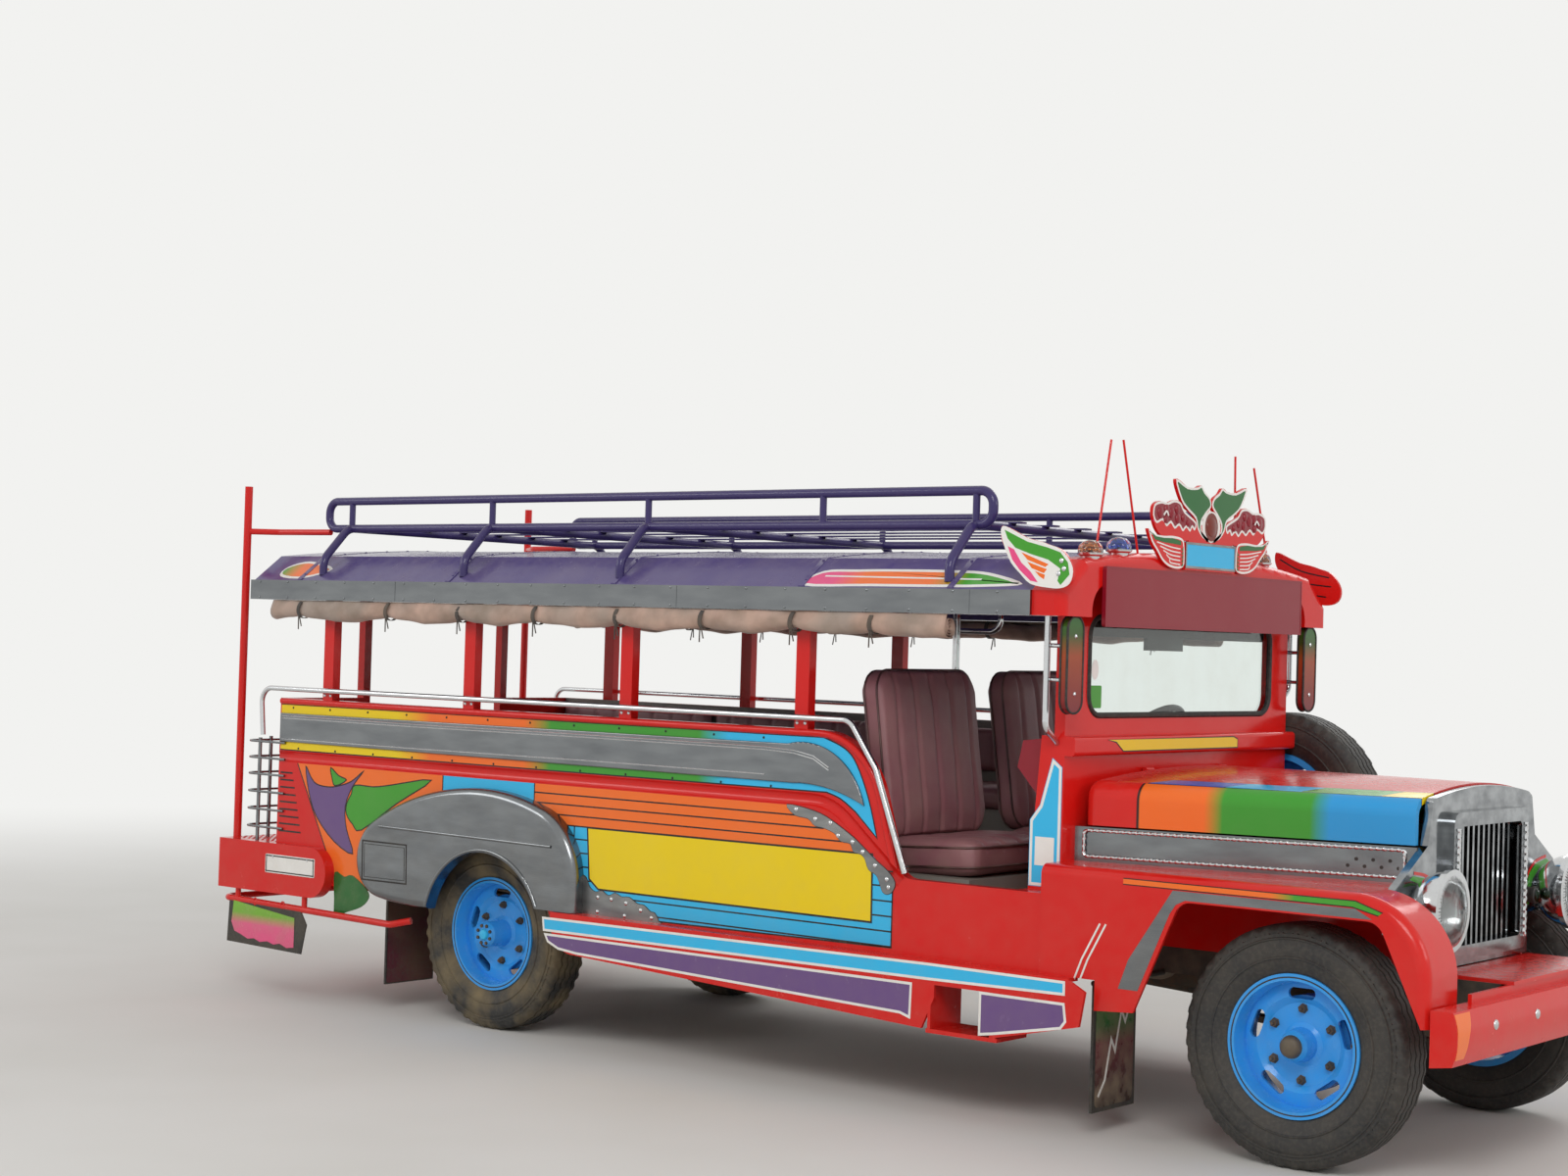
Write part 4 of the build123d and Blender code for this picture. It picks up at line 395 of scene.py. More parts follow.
world.node_tree.nodes.clear()
plain = addNode(world.node_tree, "Background", "#FFFFFF", studio["worldLevel"])
shown = addNode(plain, "Background", studio["backdrop"], 1)
addNode(plain, "OutputWorld", {"Surface": addNode(plain, "MixShader", seenShare(plain), plain, shown)})

for name, (at, aim, size, power) in studio["softboxes"].items():
    light = bpy.data.lights.new(name + "Softbox", "AREA")
    light.shape = "RECTANGLE"
    light.size = size
    light.size_y = size * 0.7
    light.energy = power
    lamp = bpy.data.objects.new(name + "Softbox", light)
    bpy.context.scene.collection.objects.link(lamp)
    lamp.location = at
    lamp.rotation_euler = (Vector(aim) - Vector(at)).to_track_quat("-Z", "Y").to_euler()

# the photograph's camera: place, azimuth from +Y toward -X, tilt up and roll in degrees
camera = {"place": (5.7546, -7.6938, 1.5916), "turns": (38.897, 1.164, 1.717), "lens": 56.25}
azimuth, tilt, roll = [math.radians(turn) for turn in camera["turns"]]
ahead = Vector((-math.sin(azimuth) * math.cos(tilt), math.cos(azimuth) * math.cos(tilt), math.sin(tilt)))
level = Vector((math.cos(azimuth), math.sin(azimuth), 0))
above = level.cross(ahead)
right = level * math.cos(roll) + above * math.sin(roll)
up = above * math.cos(roll) - level * math.sin(roll)
cameraData = bpy.data.cameras.new("photoCamera")
cameraData.lens = camera["lens"]
cameraData.sensor_width = 36
cameraObject = bpy.data.objects.new("photoCamera", cameraData)
bpy.context.scene.collection.objects.link(cameraObject)
facing = Matrix((right, up, -ahead)).transposed().to_4x4()
cameraObject.matrix_world = Matrix.Translation(camera["place"]) @ facing
bpy.context.scene.camera = cameraObject
bpy.context.scene.view_settings.view_transform = "Standard"
print("studio set")


def newPiece(name, mesh, finish, body="chassis", angle=35):
    # a bmesh as a shown piece: normals out, smooth up to an angle in degrees, riding on its body
    bmesh.ops.recalc_face_normals(mesh, faces=mesh.faces)
    data = bpy.data.meshes.new(name)
    mesh.to_mesh(data)
    mesh.free()
    data.shade_smooth()
    data.set_sharp_from_angle(angle=math.radians(angle))
    data.materials.append(finish)
    piece = bpy.data.objects.new(name, data)
    bpy.context.scene.collection.objects.link(piece)
    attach(piece, body)
    return piece


def points(text):
    # "u,v u,v" in millimetres as points in metres
    return [tuple(float(number) / 1000 for number in point.split(",")) for point in text.split()]


def smoothPath(path, closed=False, steps=4):
    # a rounded line through the points, of any number of coordinates
    count = len(path)
    found = []
    for i in range(count if closed else count - 1):
        four = [path[k % count] if closed else path[min(max(k, 0), count - 1)] for k in range(i - 1, i + 3)]
        for t in [step / steps for step in range(steps)]:
            found.append(tuple(
                0.5 * (2 * b + (c - a) * t + (2 * a - 5 * b + 4 * c - d) * t * t
                       + (3 * b - a - 3 * c + d) * t ** 3) for a, b, c, d in zip(*four)))
    return found if closed else found + [tuple(path[-1])]


def rounded(text, steps=3):
    # a closed outline with soft corners
    return smoothPath(points(text), True, steps)


def circle(count):
    # angles evenly round a circle
    return [2 * math.pi * k / count for k in range(count)]


def oval(u, v, wide, tall, count):
    return [(u + wide * math.cos(t), v + tall * math.sin(t)) for t in circle(count)]


def easedCorners(u0, v0, u1, v1, ease, steps=5):
    # a rectangle's outline with round corners
    corners = [(u1 - ease, v1 - ease), (u0 + ease, v1 - ease), (u0 + ease, v0 + ease), (u1 - ease, v0 + ease)]
    turns = [(u, v, math.radians(90 * (number + k / (steps - 1))))
             for number, (u, v) in enumerate(corners) for k in range(steps)]
    return [(u + ease * math.cos(t), v + ease * math.sin(t)) for u, v, t in turns]


def inset(outline, by):
    # a closed outline drawn in by an even distance
    turn = sum(a[0] * b[1] - b[0] * a[1] for a, b in zip(outline, outline[1:] + outline[:1]))
    found = []
    for i, point in enumerate(outline):
        into = (Vector(point) - Vector(outline[i - 1])).normalized()
        out = (Vector(outline[(i + 1) % len(outline)]) - Vector(point)).normalized()
        along = (into + out).normalized()
        inward = Vector((-along.y, along.x)) * (1 if turn > 0 else -1)
        found.append(tuple(Vector(point) + inward * by / max(0.5, along.dot(out))))
    return found


def evenPoints(path, pitch, start=0.0):
    # points every so many metres along a line
    found, left = [], start
    for a, b in zip(path, path[1:]):
        a, b = Vector(a), Vector(b)
        span = (b - a).length
        while left <= span:
            found.append(a.lerp(b, left / span))
            left += pitch
        left -= span
    return found


def joinRings(mesh, rings, closed=False):
    # faces between rings of equally many points, the ends filled or joined to each other
    rings = [[mesh.verts.new(p) for p in ring] for ring in rings]
    for one, other in zip(rings, rings[1:] + rings[:closed]):
        for i in range(len(one)):
            j = (i + 1) % len(one)
            mesh.faces.new((one[i], one[j], other[j], other[i]))
    if not closed:
        mesh.faces.new(rings[0])
        mesh.faces.new(reversed(rings[-1]))


# Surfaces: each takes a side, -1 or 1, and gives the function that puts (u, v) in space, lifted off it
def sideOf(depth):
    return lambda side: lambda u, v, lift=0: (u, side * (depth + lift), v)


def frontOf(x):
    return lambda side: lambda u, v, lift=0: (x + lift, side * u, v)


def inSpace(side):
    # points that are in space already, mirrored to their side
    return lambda x, y, z: (x, side * y, z)


def addPlate(mesh, place, outline, low=0.0002, high=0.0006):
    # a flat shape of paint or sheet
    joinRings(mesh, [[place(u, v, lift) for u, v in outline] for lift in (low, high)])


def addBand(mesh, place, path, width, low=0.0006, high=0.001, closed=False):
    # a stripe of even width along a line of (u, v) points, mitred at its corners
    path = [Vector(p) for p in path]
    last = len(path) - 1
    rings = []
    for i, point in enumerate(path):
        into = (point - path[i - 1]).normalized() if closed or i else None
        out = (path[(i + 1) % (last + 1)] - point).normalized() if closed or i < last else into
        along = ((into or out) + out).normalized()
        across = Vector((-along.y, along.x)) * width / 2 / max(0.4, along.dot(out))
        edges = [(point + across * s, lift) for s, lift in ((-1, low), (1, low), (1, high), (-1, high))]
        rings.append([place(*p, lift) for p, lift in edges])
    joinRings(mesh, rings, closed)


def addTube(mesh, place, path, radius, sides=10, closed=False, lobes=0, depth=0.0, pitch=0.03):
    # a round bar along a line; lobes and pitch twist its surface like a rope bead
    path = [Vector(place(*p)) for p in path]
    last = len(path) - 1
    rings, run, across = [], 0.0, None
    for i, point in enumerate(path):
        behind = path[i - 1] if closed or i else point
        ahead = path[(i + 1) % (last + 1)] if closed or i < last else point
        along = (ahead - behind).normalized()
        across = (across - along * across.dot(along) if across else along.orthogonal()).normalized()
        other = along.cross(across)
        rings.append([point + (across * math.cos(turn) + other * math.sin(turn))
                      * (radius + depth * math.cos(lobes * turn + 2 * math.pi * run / pitch))
                      for turn in circle(sides)])
        run += (ahead - point).length
    joinRings(mesh, rings, closed)


def addTurned(mesh, at, out, profile, sides=16, waves=0, depth=0.0):
    # a round part along out from (radius, height) pairs; waves flute it like a lamp glass
    out = Vector(out).normalized()
    across = out.orthogonal().normalized()
    other = out.cross(across)
    joinRings(mesh, [[
        Vector(at) + (across * math.cos(turn) + other * math.sin(turn)) * radius
        * (1 + depth * math.cos(waves * turn)) + out * height
        for turn in circle(sides)] for radius, height in profile])


def addDome(mesh, place, at, radius, height, sides=8):
    # a rivet or stud head on a surface: a rim, a shoulder and a crown
    u, v, lift = at
    foot = Vector(place(u, v, lift))
    out = Vector(place(u, v, lift + 1)) - foot
    shape = [(1, -0.1), (0.95, 0.35), (0.6, 0.85), (0.15, 1.0)]
    addTurned(mesh, foot, out, [(radius * r, height * h) for r, h in shape], sides)


def addBox(mesh, low, high, ease=0.0):
    # a block between two corners, its upright edges eased by so many metres
    (x0, y0, z0), (x1, y1, z1) = low, high
    flat = [(x0 + ease, y0), (x1 - ease, y0), (x1, y0 + ease), (x1, y1 - ease),
            (x1 - ease, y1), (x0 + ease, y1), (x0, y1 - ease), (x0, y0 + ease)]
    joinRings(mesh, [[(x, y, z) for x, y in flat] for z in (z0, z1)])


def dress(name, finish, surface, *shapes, sides=bothSides):
    # one piece of paint, sheet or studs, the same on each side; a shape is its function and its values
    mesh = bmesh.new()
    for side in sides:
        for add, *values in shapes:
            add(mesh, surface(side), *values)
    newPiece(name, mesh, finish)


def paintFaces(name, finishes, pick):
    # give each face of a frame piece one of several finishes, chosen by its middle and its normal
    data = nodes[name].data
    data.materials.clear()
    for finish in finishes:
        data.materials.append(finish)
    for face in data.polygons:
        face.material_index = pick(face.center, face.normal)


# Side walls: the pressed wall stays as built; belt, fields and lines are paint layers on it
wall = {
    "outer": 0.880,
    "inner": 0.862,
    "beltCurve": (0.4355, 0.959, 0.262),    # middle and radius inside the rolled bead where it falls
    "beadZ": 1.235,
    "line": 0.0055,
    "ladder": (0.800, 0.0515),              # height of the highest line on the blue field, and their pitch
    "screws": (0.235, [(-2.40, 1.232), (-2.36, 1.061)]),
    "orange": ["-955,900 -955,999 302,999 395,990 481,966 580,915 686,849 -860,849",
               "-2361,999 -1469,999 -1469,940 -1620,880 -1750,750 -1800,515 -2089,515"],
    "blue": ["-860,849 686,849 757,790 776,775 776,540 -660,522 -860,515",
             "-1469,999 -955,999 -955,900 -1469,900"],
    "lines": ["-955,965 395,965", "-955,927 470,927", "-910,887 550,887", "-860,849 660,849",
              "-735,849 -735,700", "776,775 776,540 -300,527", "-955,900 -955,999", "-1469,900 -1469,999",
              "-2361,999 -2089,515"],
}
onWall = sideOf(wall["outer"])


def wallFinish(middle, normal):
    # red enamel, the bright belt band, or the grey of the inside
    x, y, z = middle
    if abs(y) < wall["inner"] and abs(normal.y) > 0.3:
        return 2
    curveX, curveZ, reach = wall["beltCurve"]
    pressed = abs(y) > wall["outer"] + 0.0004 and z < wall["beadZ"]
    return 1 if pressed and (x < curveX or math.hypot(x - curveX, z - curveZ) < reach) else 0


paintFaces("side_walls", [redEnamel, stainless, cabinEnamel], wallFinish)
beltOuter = smoothPath(points("458,1246 553,1211 607,1158 662,1043 703,910"))
beltInner = points("607,994 540,1035 477,1054")
panel = points("-666,848 686,853 689,619 -601,619 -650,655")
purpleLeaf = rounded("""
    -2307,988 -2272,945 -2236,919 -2175,911 -2109,916 -2017,942 -1942,990 -2008,922 -2050,836 -2038,744
    -1994,644 -2113,687 -2229,783 -2283,884""")
greenLeaves = [rounded("-2148,992 -2098,962 -2048,946 -2117,918 -2138,950"), rounded("""
    -1993,928 -1880,928 -1772,942 -1536,976 -1738,868 -1945,746 -2000,766 -2041,806 -2040,850 -2014,891""")]
scallops = [rounded("""
    302,1000 400,990 481,968 580,918 632,885 700,835 755,800 786,765 778,735 758,722 736,727 722,755 706,783
    672,800 655,835 635,850 605,856 588,883 548,888 518,914 470,929 430,934 399,957 340,965"""), rounded("""
    -760,512 -760,700 -707,697 -690,672 -664,658 -645,625 -614,608 -580,615 -546,600 -513,612 -479,601
    -440,603 -399,583 -365,580 -332,560 -310,556 -290,528 -300,512""")]
scallopStuds = points("""
    345,985 432,957 500,948 536,906 600,889 645,858 700,815 752,772 760,745 -720,672 -688,610 -720,550
    -600,590 -530,588 -455,580 -380,560 -325,537 -600,535 -460,532""")

for name, finish in (("orange", orangeEnamel), ("blue", blueEnamel)):
    dress(name + "Field", finish, onWall, *[(addPlate, points(outline)) for outline in wall[name]])
dress("shadedBeltStripe", stripeEnamel, onWall,
      (addPlate, points("-2476,1246") + beltOuter + beltInner + points("-2476,1052")))
dress("routePanels", yellowEnamel, onWall, (addPlate, panel, 0.0010, 0.0014))
dress("purpleLeaves", purpleEnamel, onWall, (addPlate, purpleLeaf, 0.0006, 0.001))
dress("greenLeaves", greenEnamel, onWall, *[(addPlate, leaf, 0.001, 0.0014) for leaf in greenLeaves])
dress("scallopPlates", galvanised, onWall, *[(addPlate, shape, 0.0014, 0.0034) for shape in scallops])
dress("scallopStuds", chrome, onWall, *[(addDome, (*at, 0.0034), 0.0085, 0.005, 10) for at in scallopStuds])
topLine, ladderPitch = wall["ladder"]
screwPitch, firstScrews = wall["screws"]
dress("wallLines", blackEnamel, onWall,
      (addBand, points("-2476,1245.5") + beltOuter + smoothPath(beltInner) + points("-2476,1052"), 0.005),
      *[(addBand, points(line), wall["line"]) for line in wall["lines"]],
      *[(addBand, [(-0.86, topLine - ladderPitch * k), (0.776, topLine - ladderPitch * k)], wall["line"])
        for k in range(6)],
      (addBand, panel, 0.007, 0.0014, 0.0017, True),
      (addBand, purpleLeaf, 0.005, 0.001, 0.0013, True),
      *[(addBand, leaf, 0.005, 0.0014, 0.0017, True) for leaf in greenLeaves],
      *[(addBand, shape, 0.004, 0.0012, 0.0018, True) for shape in scallops],
      *[(addDome, (x + screwPitch * k, z, 0.0006), 0.005, 0.003) for k in range(12) for x, z in firstScrews])
dress("bandLines", chrome, sideOf(wall["outer"] + 0.009),
      *[(addTube, points(line), 0.0022, 6) for line in (
          "-2460,1196 -1600,1196 -700,1200 200,1200 330,1194 420,1178 490,1141",
          "-2460,1186 -1600,1186 -700,1190 200,1190 330,1184 420,1168 490,1131",
          "-2460,1098 -1600,1098 -700,1102 200,1102")])
print("side walls painted")

# Skirts: blue and purple fields with white outlines on the red sheet
skirt = {
    "outer": 0.950,
    "blue": points("-819,496 979,512 1520,510 1520,472 980,463 -813,451"),
    "purple": [points("-805,435 915,439 912,326 872,338 -640,379 -735,388 -790,410"),
               points("1197,440 1520,440 1528,385 1510,362 1250,312 1197,304")],
}
onSkirt = sideOf(skirt["outer"])
dress("skirtBlueStripes", blueEnamel, onSkirt, (addPlate, skirt["blue"]))
dress("skirtPurpleFields", purpleEnamel, onSkirt, *[(addPlate, field) for field in skirt["purple"]])
dress("skirtOutlines", whiteEnamel, onSkirt,
      *[(addBand, field, 0.009, 0.0006, 0.001, True) for field in [skirt["blue"]] + skirt["purple"]])
print("skirts painted")

# Hood: red top, a row of slanted colour patches along each edge, and a shaded band down the side
hood = {
    "rearX": 1.416, "rearHalf": 0.70, "taper": 0.229,
    "sideBand": 0.0415,     # from the edge to the line between band and patches
    "patchEnd": 0.131,
    "slant": 0.46,
    "line": 0.0022,
    "black": "#17161A",
    "band": [(1.4, "#DC1F1A"), (1.598, "#DC1F1A"), (1.6, "#17161A"), (1.606, "#17161A"), (1.608, "#FA7426"),
             (1.82, "#FA7426"), (1.88, "#3FA030"), (2.16, "#3FA030"), (2.22, "#2E9FE0"), (2.49, "#2E9FE0")],
    "patches": [(1.4, "#DC1F1A"), (1.593, "#3F5FC8"), (1.842, "#35BFF2"), (2.09, "#45A12E"),
                (2.335, "#F4D40D")],
}


def hoodEnamel():
    # the hood's enamel is sprayed in bands that follow its tapering edge
    material, shader, place = newFinish("hoodEnamel")
    along, across = addNode(place, "SeparateXYZ", place).outputs[:2]
    half = addNode(place, "Math", along, -hood["taper"], hood["rearHalf"] + hood["taper"] * hood["rearX"],
                   operation="MULTIPLY_ADD")
    off = addNode(place, "Math", across, operation="ABSOLUTE")
    inward = addNode(place, "Math", half, off, operation="SUBTRACT")
    slanted = addNode(place, "Math", inward, -hood["slant"], along, operation="MULTIPLY_ADD")
    stops = hood["patches"][:1]
    for (_, before), (at, code) in zip(hood["patches"], hood["patches"][1:]):
        edges = [(-0.0005, before), (0, hood["black"]), (0.004, hood["black"]), (0.0045, code)]
        stops = stops + [(at + past, shade) for past, shade in edges]
    row = sprayedColours(slanted, stops + [(2.50, hood["patches"][-1][1])])
    inRow, onTop = [addNode(place, "Math", inward, hood[edge], operation="GREATER_THAN")
                    for edge in ("sideBand", "patchEnd")]
    colour = addNode(place, "Mix", inRow, sprayedColours(along, hood["band"]), row, data_type="RGBA")
    colour = addNode(place, "Mix", onTop, colour, "#D41D1A", data_type="RGBA")
    painted = addNode(place, "Math", slanted, hood["patches"][1][0], operation="GREATER_THAN")
    for edge in ("sideBand", "patchEnd"):
        near = addNode(place, "Math", inward, hood[edge], hood["line"], operation="COMPARE")
        lined = addNode(place, "Math", near, painted, operation="MULTIPLY")
        colour = addNode(place, "Mix", lined, colour, hood["black"], data_type="RGBA")
    enamelCoat(shader, place, colour, dust=0.12)
    return material


nodes["hood"].data.materials.clear()
nodes["hood"].data.materials.append(hoodEnamel())

# Ledge under the windshield: a blank yellow plate
onLedge = frontOf(1.430)
ledgePlate = points("-573,1281 300,1281 330,1272 330,1241 -472,1241 -519,1272")
dress("ledgePlate", yellowEnamel, onLedge, (addPlate, ledgePlate, 0.0002, 0.001), sides=[1])
dress("ledgeLines", blackEnamel, onLedge, (addBand, ledgePlate, 0.004, 0.001, 0.0013, True), sides=[1])

# Cowl: light blue panels with white borders and a small blank white plate
onCowl = sideOf(0.780)
cowlPanel = points("1262,790 1384,790 1384,1032 1384,1190 1345,1220 1300,1060 1262,1010")
dress("cowlPanels", blueEnamel, onCowl, (addPlate, cowlPanel))
dress("cowlBorders", whiteEnamel, onCowl, (addBand, inset(cowlPanel, 0.007), 0.010, 0.0006, 0.001, True))
cowlPlate = points("1285,860 1360,860 1360,955 1285,955")
dress("cowlPlates", whiteEnamel, onCowl, (addPlate, cowlPlate, 0.001, 0.0014))
print("hood and cowl painted")

# Crest over the sign: each shape has a white edge; halves are from the middle outward, then mirrored
crest = {
    "front": 1.482,
    "edge": 0.008,
    "leaf": rounded("""
        10,1974 60,1988 96,2018 112,2052 168,2080 215,2112 254,2181 175,2160 106,2162 76,2171 52,2151
        14,2130 5,2100 40,2072 72,2040 62,2004"""),
    "berries": rounded("""
        396,2086 350,2099 310,2096 264,2108 220,2102 190,2074 120,2046 106,2030 118,2010 136,2020 150,2004
        176,2018 200,2003 226,2022 256,2009 284,2028 312,2014 340,2034 380,2022 404,2048"""),
    "wing": rounded("""
        430,2000 395,1985 330,1981 270,1984 205,1978 188,1955 184,1912 190,1882 230,1872 290,1878 335,1897
        370,1927 410,1960"""),
    "wingBand": points("412,1989 382,1977 330,1974 270,1976 212,1969 210,1954 266,1957 330,1959 390,1966"),
    # each berry's middle and radius
    "berry": points("""
        355,2060,22 315,2073,18 280,2062,20 245,2077,16 238,2045,18 200,2050,15 165,2033,13 320,2038,14"""),
    "feathers": [1.941 - 0.0135 * k for k in range(5)],
    "dropZ": 2.028,
    "plate": points("-170,1885 170,1885 170,1960 -170,1960"),
    "rim": points("-174,1881 174,1881 174,1964 -174,1964"),
}
onCrest = frontOf(crest["front"])
drop = oval(0, crest["dropZ"], 0.044, 0.050, 20)
dropEdge = [(u * 1.5, crest["dropZ"] + (v - crest["dropZ"]) * 1.12) for u, v in drop]
crestEdges = bmesh.new()
for side in bothSides:
    for shape in ("leaf", "berries", "wing"):
        addPlate(crestEdges, onCrest(side), crest[shape], -0.001, 0.0006)
addPlate(crestEdges, onCrest(1), dropEdge, -0.001, 0.0006)
newPiece("crestEdges", crestEdges, whiteEnamel)
for shape, name, finish, *more in (
        ("leaf", "crestLeaves", leafEnamel),
        ("berries", "crestBerries", maroonEnamel,
         *[(addDome, (u, v, 0.001), radius, 0.006, 12) for u, v, radius in crest["berry"]]),
        ("wing", "crestWings", redEnamel)):
    dress(name, finish, onCrest, (addPlate, inset(crest[shape], crest["edge"]), 0.0006, 0.0012), *more)
dress("crestWingBands", leafEnamel, onCrest, (addPlate, crest["wingBand"], 0.0012, 0.0018), *[
    (addPlate, [(0.194, low + 0.008), (0.194, low - 0.004), (0.208, low - 0.006)], 0.0012, 0.0018)
    for low in crest["feathers"]])
dress("crestFeathers", whiteEnamel, onCrest, *[
    (addBand, smoothPath([(0.215, low), (0.28, low + 0.004), (0.375 - 0.022 * number, low + 0.017)]), 0.0045,
     0.0012, 0.0018) for number, low in enumerate(crest["feathers"])],
    (addBand, smoothPath(points("310,2052 325,2066 343,2052")), 0.007, 0.006, 0.0075))
dress("crestDrop", mirrorBrown, onCrest, (addPlate, drop, 0.0008, 0.003),
      (addDome, (0, crest["dropZ"], 0.002), 0.036, 0.008, 16), sides=[1])
dress("crestPlate", blueEnamel, onCrest, (addPlate, crest["plate"], 0.0012, 0.0018), sides=[1])
dress("crestPlateRim", galvanised, onCrest, (addBand, crest["rim"], 0.008, 0.0006, 0.003, True), sides=[1])

# Leaf at each front corner of the roof, lined with black on its red back
corner = {
    "outer": 0.964,
    "inner": 0.952,
    "leaf": rounded("""
        1246,1982 1282,1969 1342,1942 1400,1928 1424,1920 1470,1905 1505,1871 1520,1833 1508,1794 1474,1779
        1428,1780 1358,1792 1316,1826 1280,1861 1254,1910 1237,1960"""),
    "green": ["""
        1252,1969 1342,1930 1424,1910 1470,1895 1500,1862 1507,1823 1474,1789 1462,1803 1472,1842 1425,1871
        1355,1890 1296,1910 1265,1940"""],
    "pink": ["1266,1915 1290,1905 1321,1861 1357,1832 1387,1797 1358,1802 1316,1836 1285,1871"],
    "stripes": ["1320,1895 1426,1856 1414,1847 1344,1871", "1344,1864 1420,1840 1409,1827 1362,1843",
                "1374,1834 1413,1822 1410,1807 1392,1817"],
    "bolts": points("1476,1868,1.2 1486,1842,1.2 1466,1826,1.2"),
    "backLines": ["1260,1955 1350,1910 1470,1885", "1280,1900 1360,1865 1480,1850",
                  "1300,1865 1370,1825 1460,1810"],
}
onLeaf = sideOf(corner["outer"])
dress("cornerLeafEdges", whiteEnamel, onLeaf, (addPlate, corner["leaf"], -0.001, 0.0006))
for name, shapes, finish in (("Green", "green", greenEnamel), ("Pink", "pink", pinkEnamel),
                             ("Stripes", "stripes", orangeEnamel)):
    dress("cornerLeaf" + name, finish, onLeaf, *[
        (addPlate, points(shape), 0.0006, 0.0012) for shape in corner[shapes]])
dress("cornerLeafBolts", chrome, onLeaf, *[(addDome, at, 0.009, 0.006) for at in corner["bolts"]])
dress("cornerLeafBacks", blackEnamel, lambda side: sideOf(-corner["inner"])(-side), *[
    (addBand, smoothPath(points(line)), 0.005, 0.0002, 0.0008) for line in corner["backLines"]])

# Roof slope: decals at both ends
slope = {
    "edgeY": 0.940, "edgeZ": 1.773, "run": 1.31,
    "decals": [rounded(outline, 4) for outline in (
        "382,1778.5 424,1832 574,1838 724,1840 980,1838 1131,1830 1296,1792 1140,1780.5 973,1778 680,1778",
        "-2484,1831 -2376,1856 -2186,1824 -2309,1782 -2469,1789")],
    "line": points("450,1813 1120,1806"),
}
slopeOut = Vector((0, 1, slope["run"])).normalized()


def onSlope(side):
    # u is X and v is height on the sloping part of the roof
    def place(u, v, lift):
        y = slope["edgeY"] - (v - slope["edgeZ"]) * slope["run"] + slopeOut.y * lift
        return u, side * y, v + slopeOut.z * lift
    return place


dress("roofDecalBorders", whiteEnamel, onSlope, *[(addPlate, decal) for decal in slope["decals"]],
      (addBand, slope["line"], 0.005, 0.001, 0.0014))
dress("roofDecals", decalEnamel, onSlope, *[
    (addPlate, inset(decal, 0.009), 0.0006, 0.001) for decal in slope["decals"]])

# Roof seams: a lapped joint over the crown under each rack hoop, with rivets
seams = {"places": [-2.32, -1.42, -0.52, 0.38, 1.02], "rise": 0.0016, "rivetPitch": 0.12, "slope": 0.4}
crown = [(0.8 * s, 1.93 - 0.05 * s * s) for s in [1 - k / 12 for k in range(1, 24)]]
section = [(-0.94, 1.776), (-0.80, 1.88)] + [(-y, z) for y, z in crown] + [(0.80, 1.88), (0.94, 1.776)]
roofSeams = bmesh.new()
lap = points("-12,-2.4 12,-2.4 12,1.6 -12,2.6")


def onCrown(at):
    # the lift from a place on the roof follows the slope of its crown
    return lambda u, v, lift: at + Vector((0, at.y * seams["slope"], 1)) * lift


for x in seams["places"]:
    joinRings(roofSeams, [[(x + dx, y, z + dz) for dx, dz in lap] for y, z in section])
    for at in evenPoints([(x, y, z + seams["rise"]) for y, z in section], seams["rivetPitch"], 0.04):
        addDome(roofSeams, onCrown(at), (0, 0, 0), 0.006, 0.003)
newPiece("roofSeams", roofSeams, roofEnamel)

fascia = {"outer": 0.952, "rows": (1.765, 1.700), "first": -2.56, "pitch": 0.18, "seams": (-1.72, -0.2, 1.10)}
dress("fasciaRivets", stainless, sideOf(fascia["outer"]),
      *[(addDome, (fascia["first"] + fascia["pitch"] * k, z, 0), 0.0055, 0.003)
        for k in range(22) for z in fascia["rows"]],
      *[(addBand, [(x, 1.692), (x, 1.771)], 0.020, -0.001, 0.0012) for x in fascia["seams"]])
print("roof dressed")

# Roof lamps: ribbed clear domes with coloured bulbs on chrome cups
lamps = {
    "x": 1.420,
    "places": [(-0.7, 1.889, "amber"), (-0.52, 1.908, "blue"), (0.36, 1.912, "blue"), (0.48, 1.906, "amber")],
    "cup": points("30,-12 34,4 44,10 46,16 40,18 36,12"),
    "dome": points("40,14 41,26 36,42 24,54 8,59"),
    "bulb": 0.72,           # size of the bulb against the dome
    "ribs": (12, -0.05),    # number and depth; minus, because a turned part starts midway between X and Y
}
lampMeshes = {part: bmesh.new() for part in ("cup", "dome", "amber", "blue")}
for y, z, colour in lamps["places"]:
    at = (lamps["x"], y, z)
    bulb = [(r * lamps["bulb"], h * lamps["bulb"]) for r, h in lamps["dome"]]
    addTurned(lampMeshes["cup"], at, (0, 0, 1), lamps["cup"], 24)
    addTurned(lampMeshes["dome"], at, (0, 0, 1), lamps["dome"], 48, *lamps["ribs"])
    addTurned(lampMeshes[colour], at, (0, 0, 1), bulb, 48, *lamps["ribs"])
for part, name, finish in (("cup", "Cups", chrome), ("dome", "Domes", glass),
                           ("amber", "Bulbs_amber", amberLens), ("blue", "Bulbs_blue", blueLens)):
    newPiece("roofLamp" + name, lampMeshes[part], finish)

# Header over the windshield: the sign's rim
dress("signRim", maroonEnamel, frontOf(1.484), (
    addBand, points("-697,1663 697,1663 697,1859 -697,1859"), 0.006, -0.001, 0.0012, True), sides=[1])
print("crest and sign dressed")

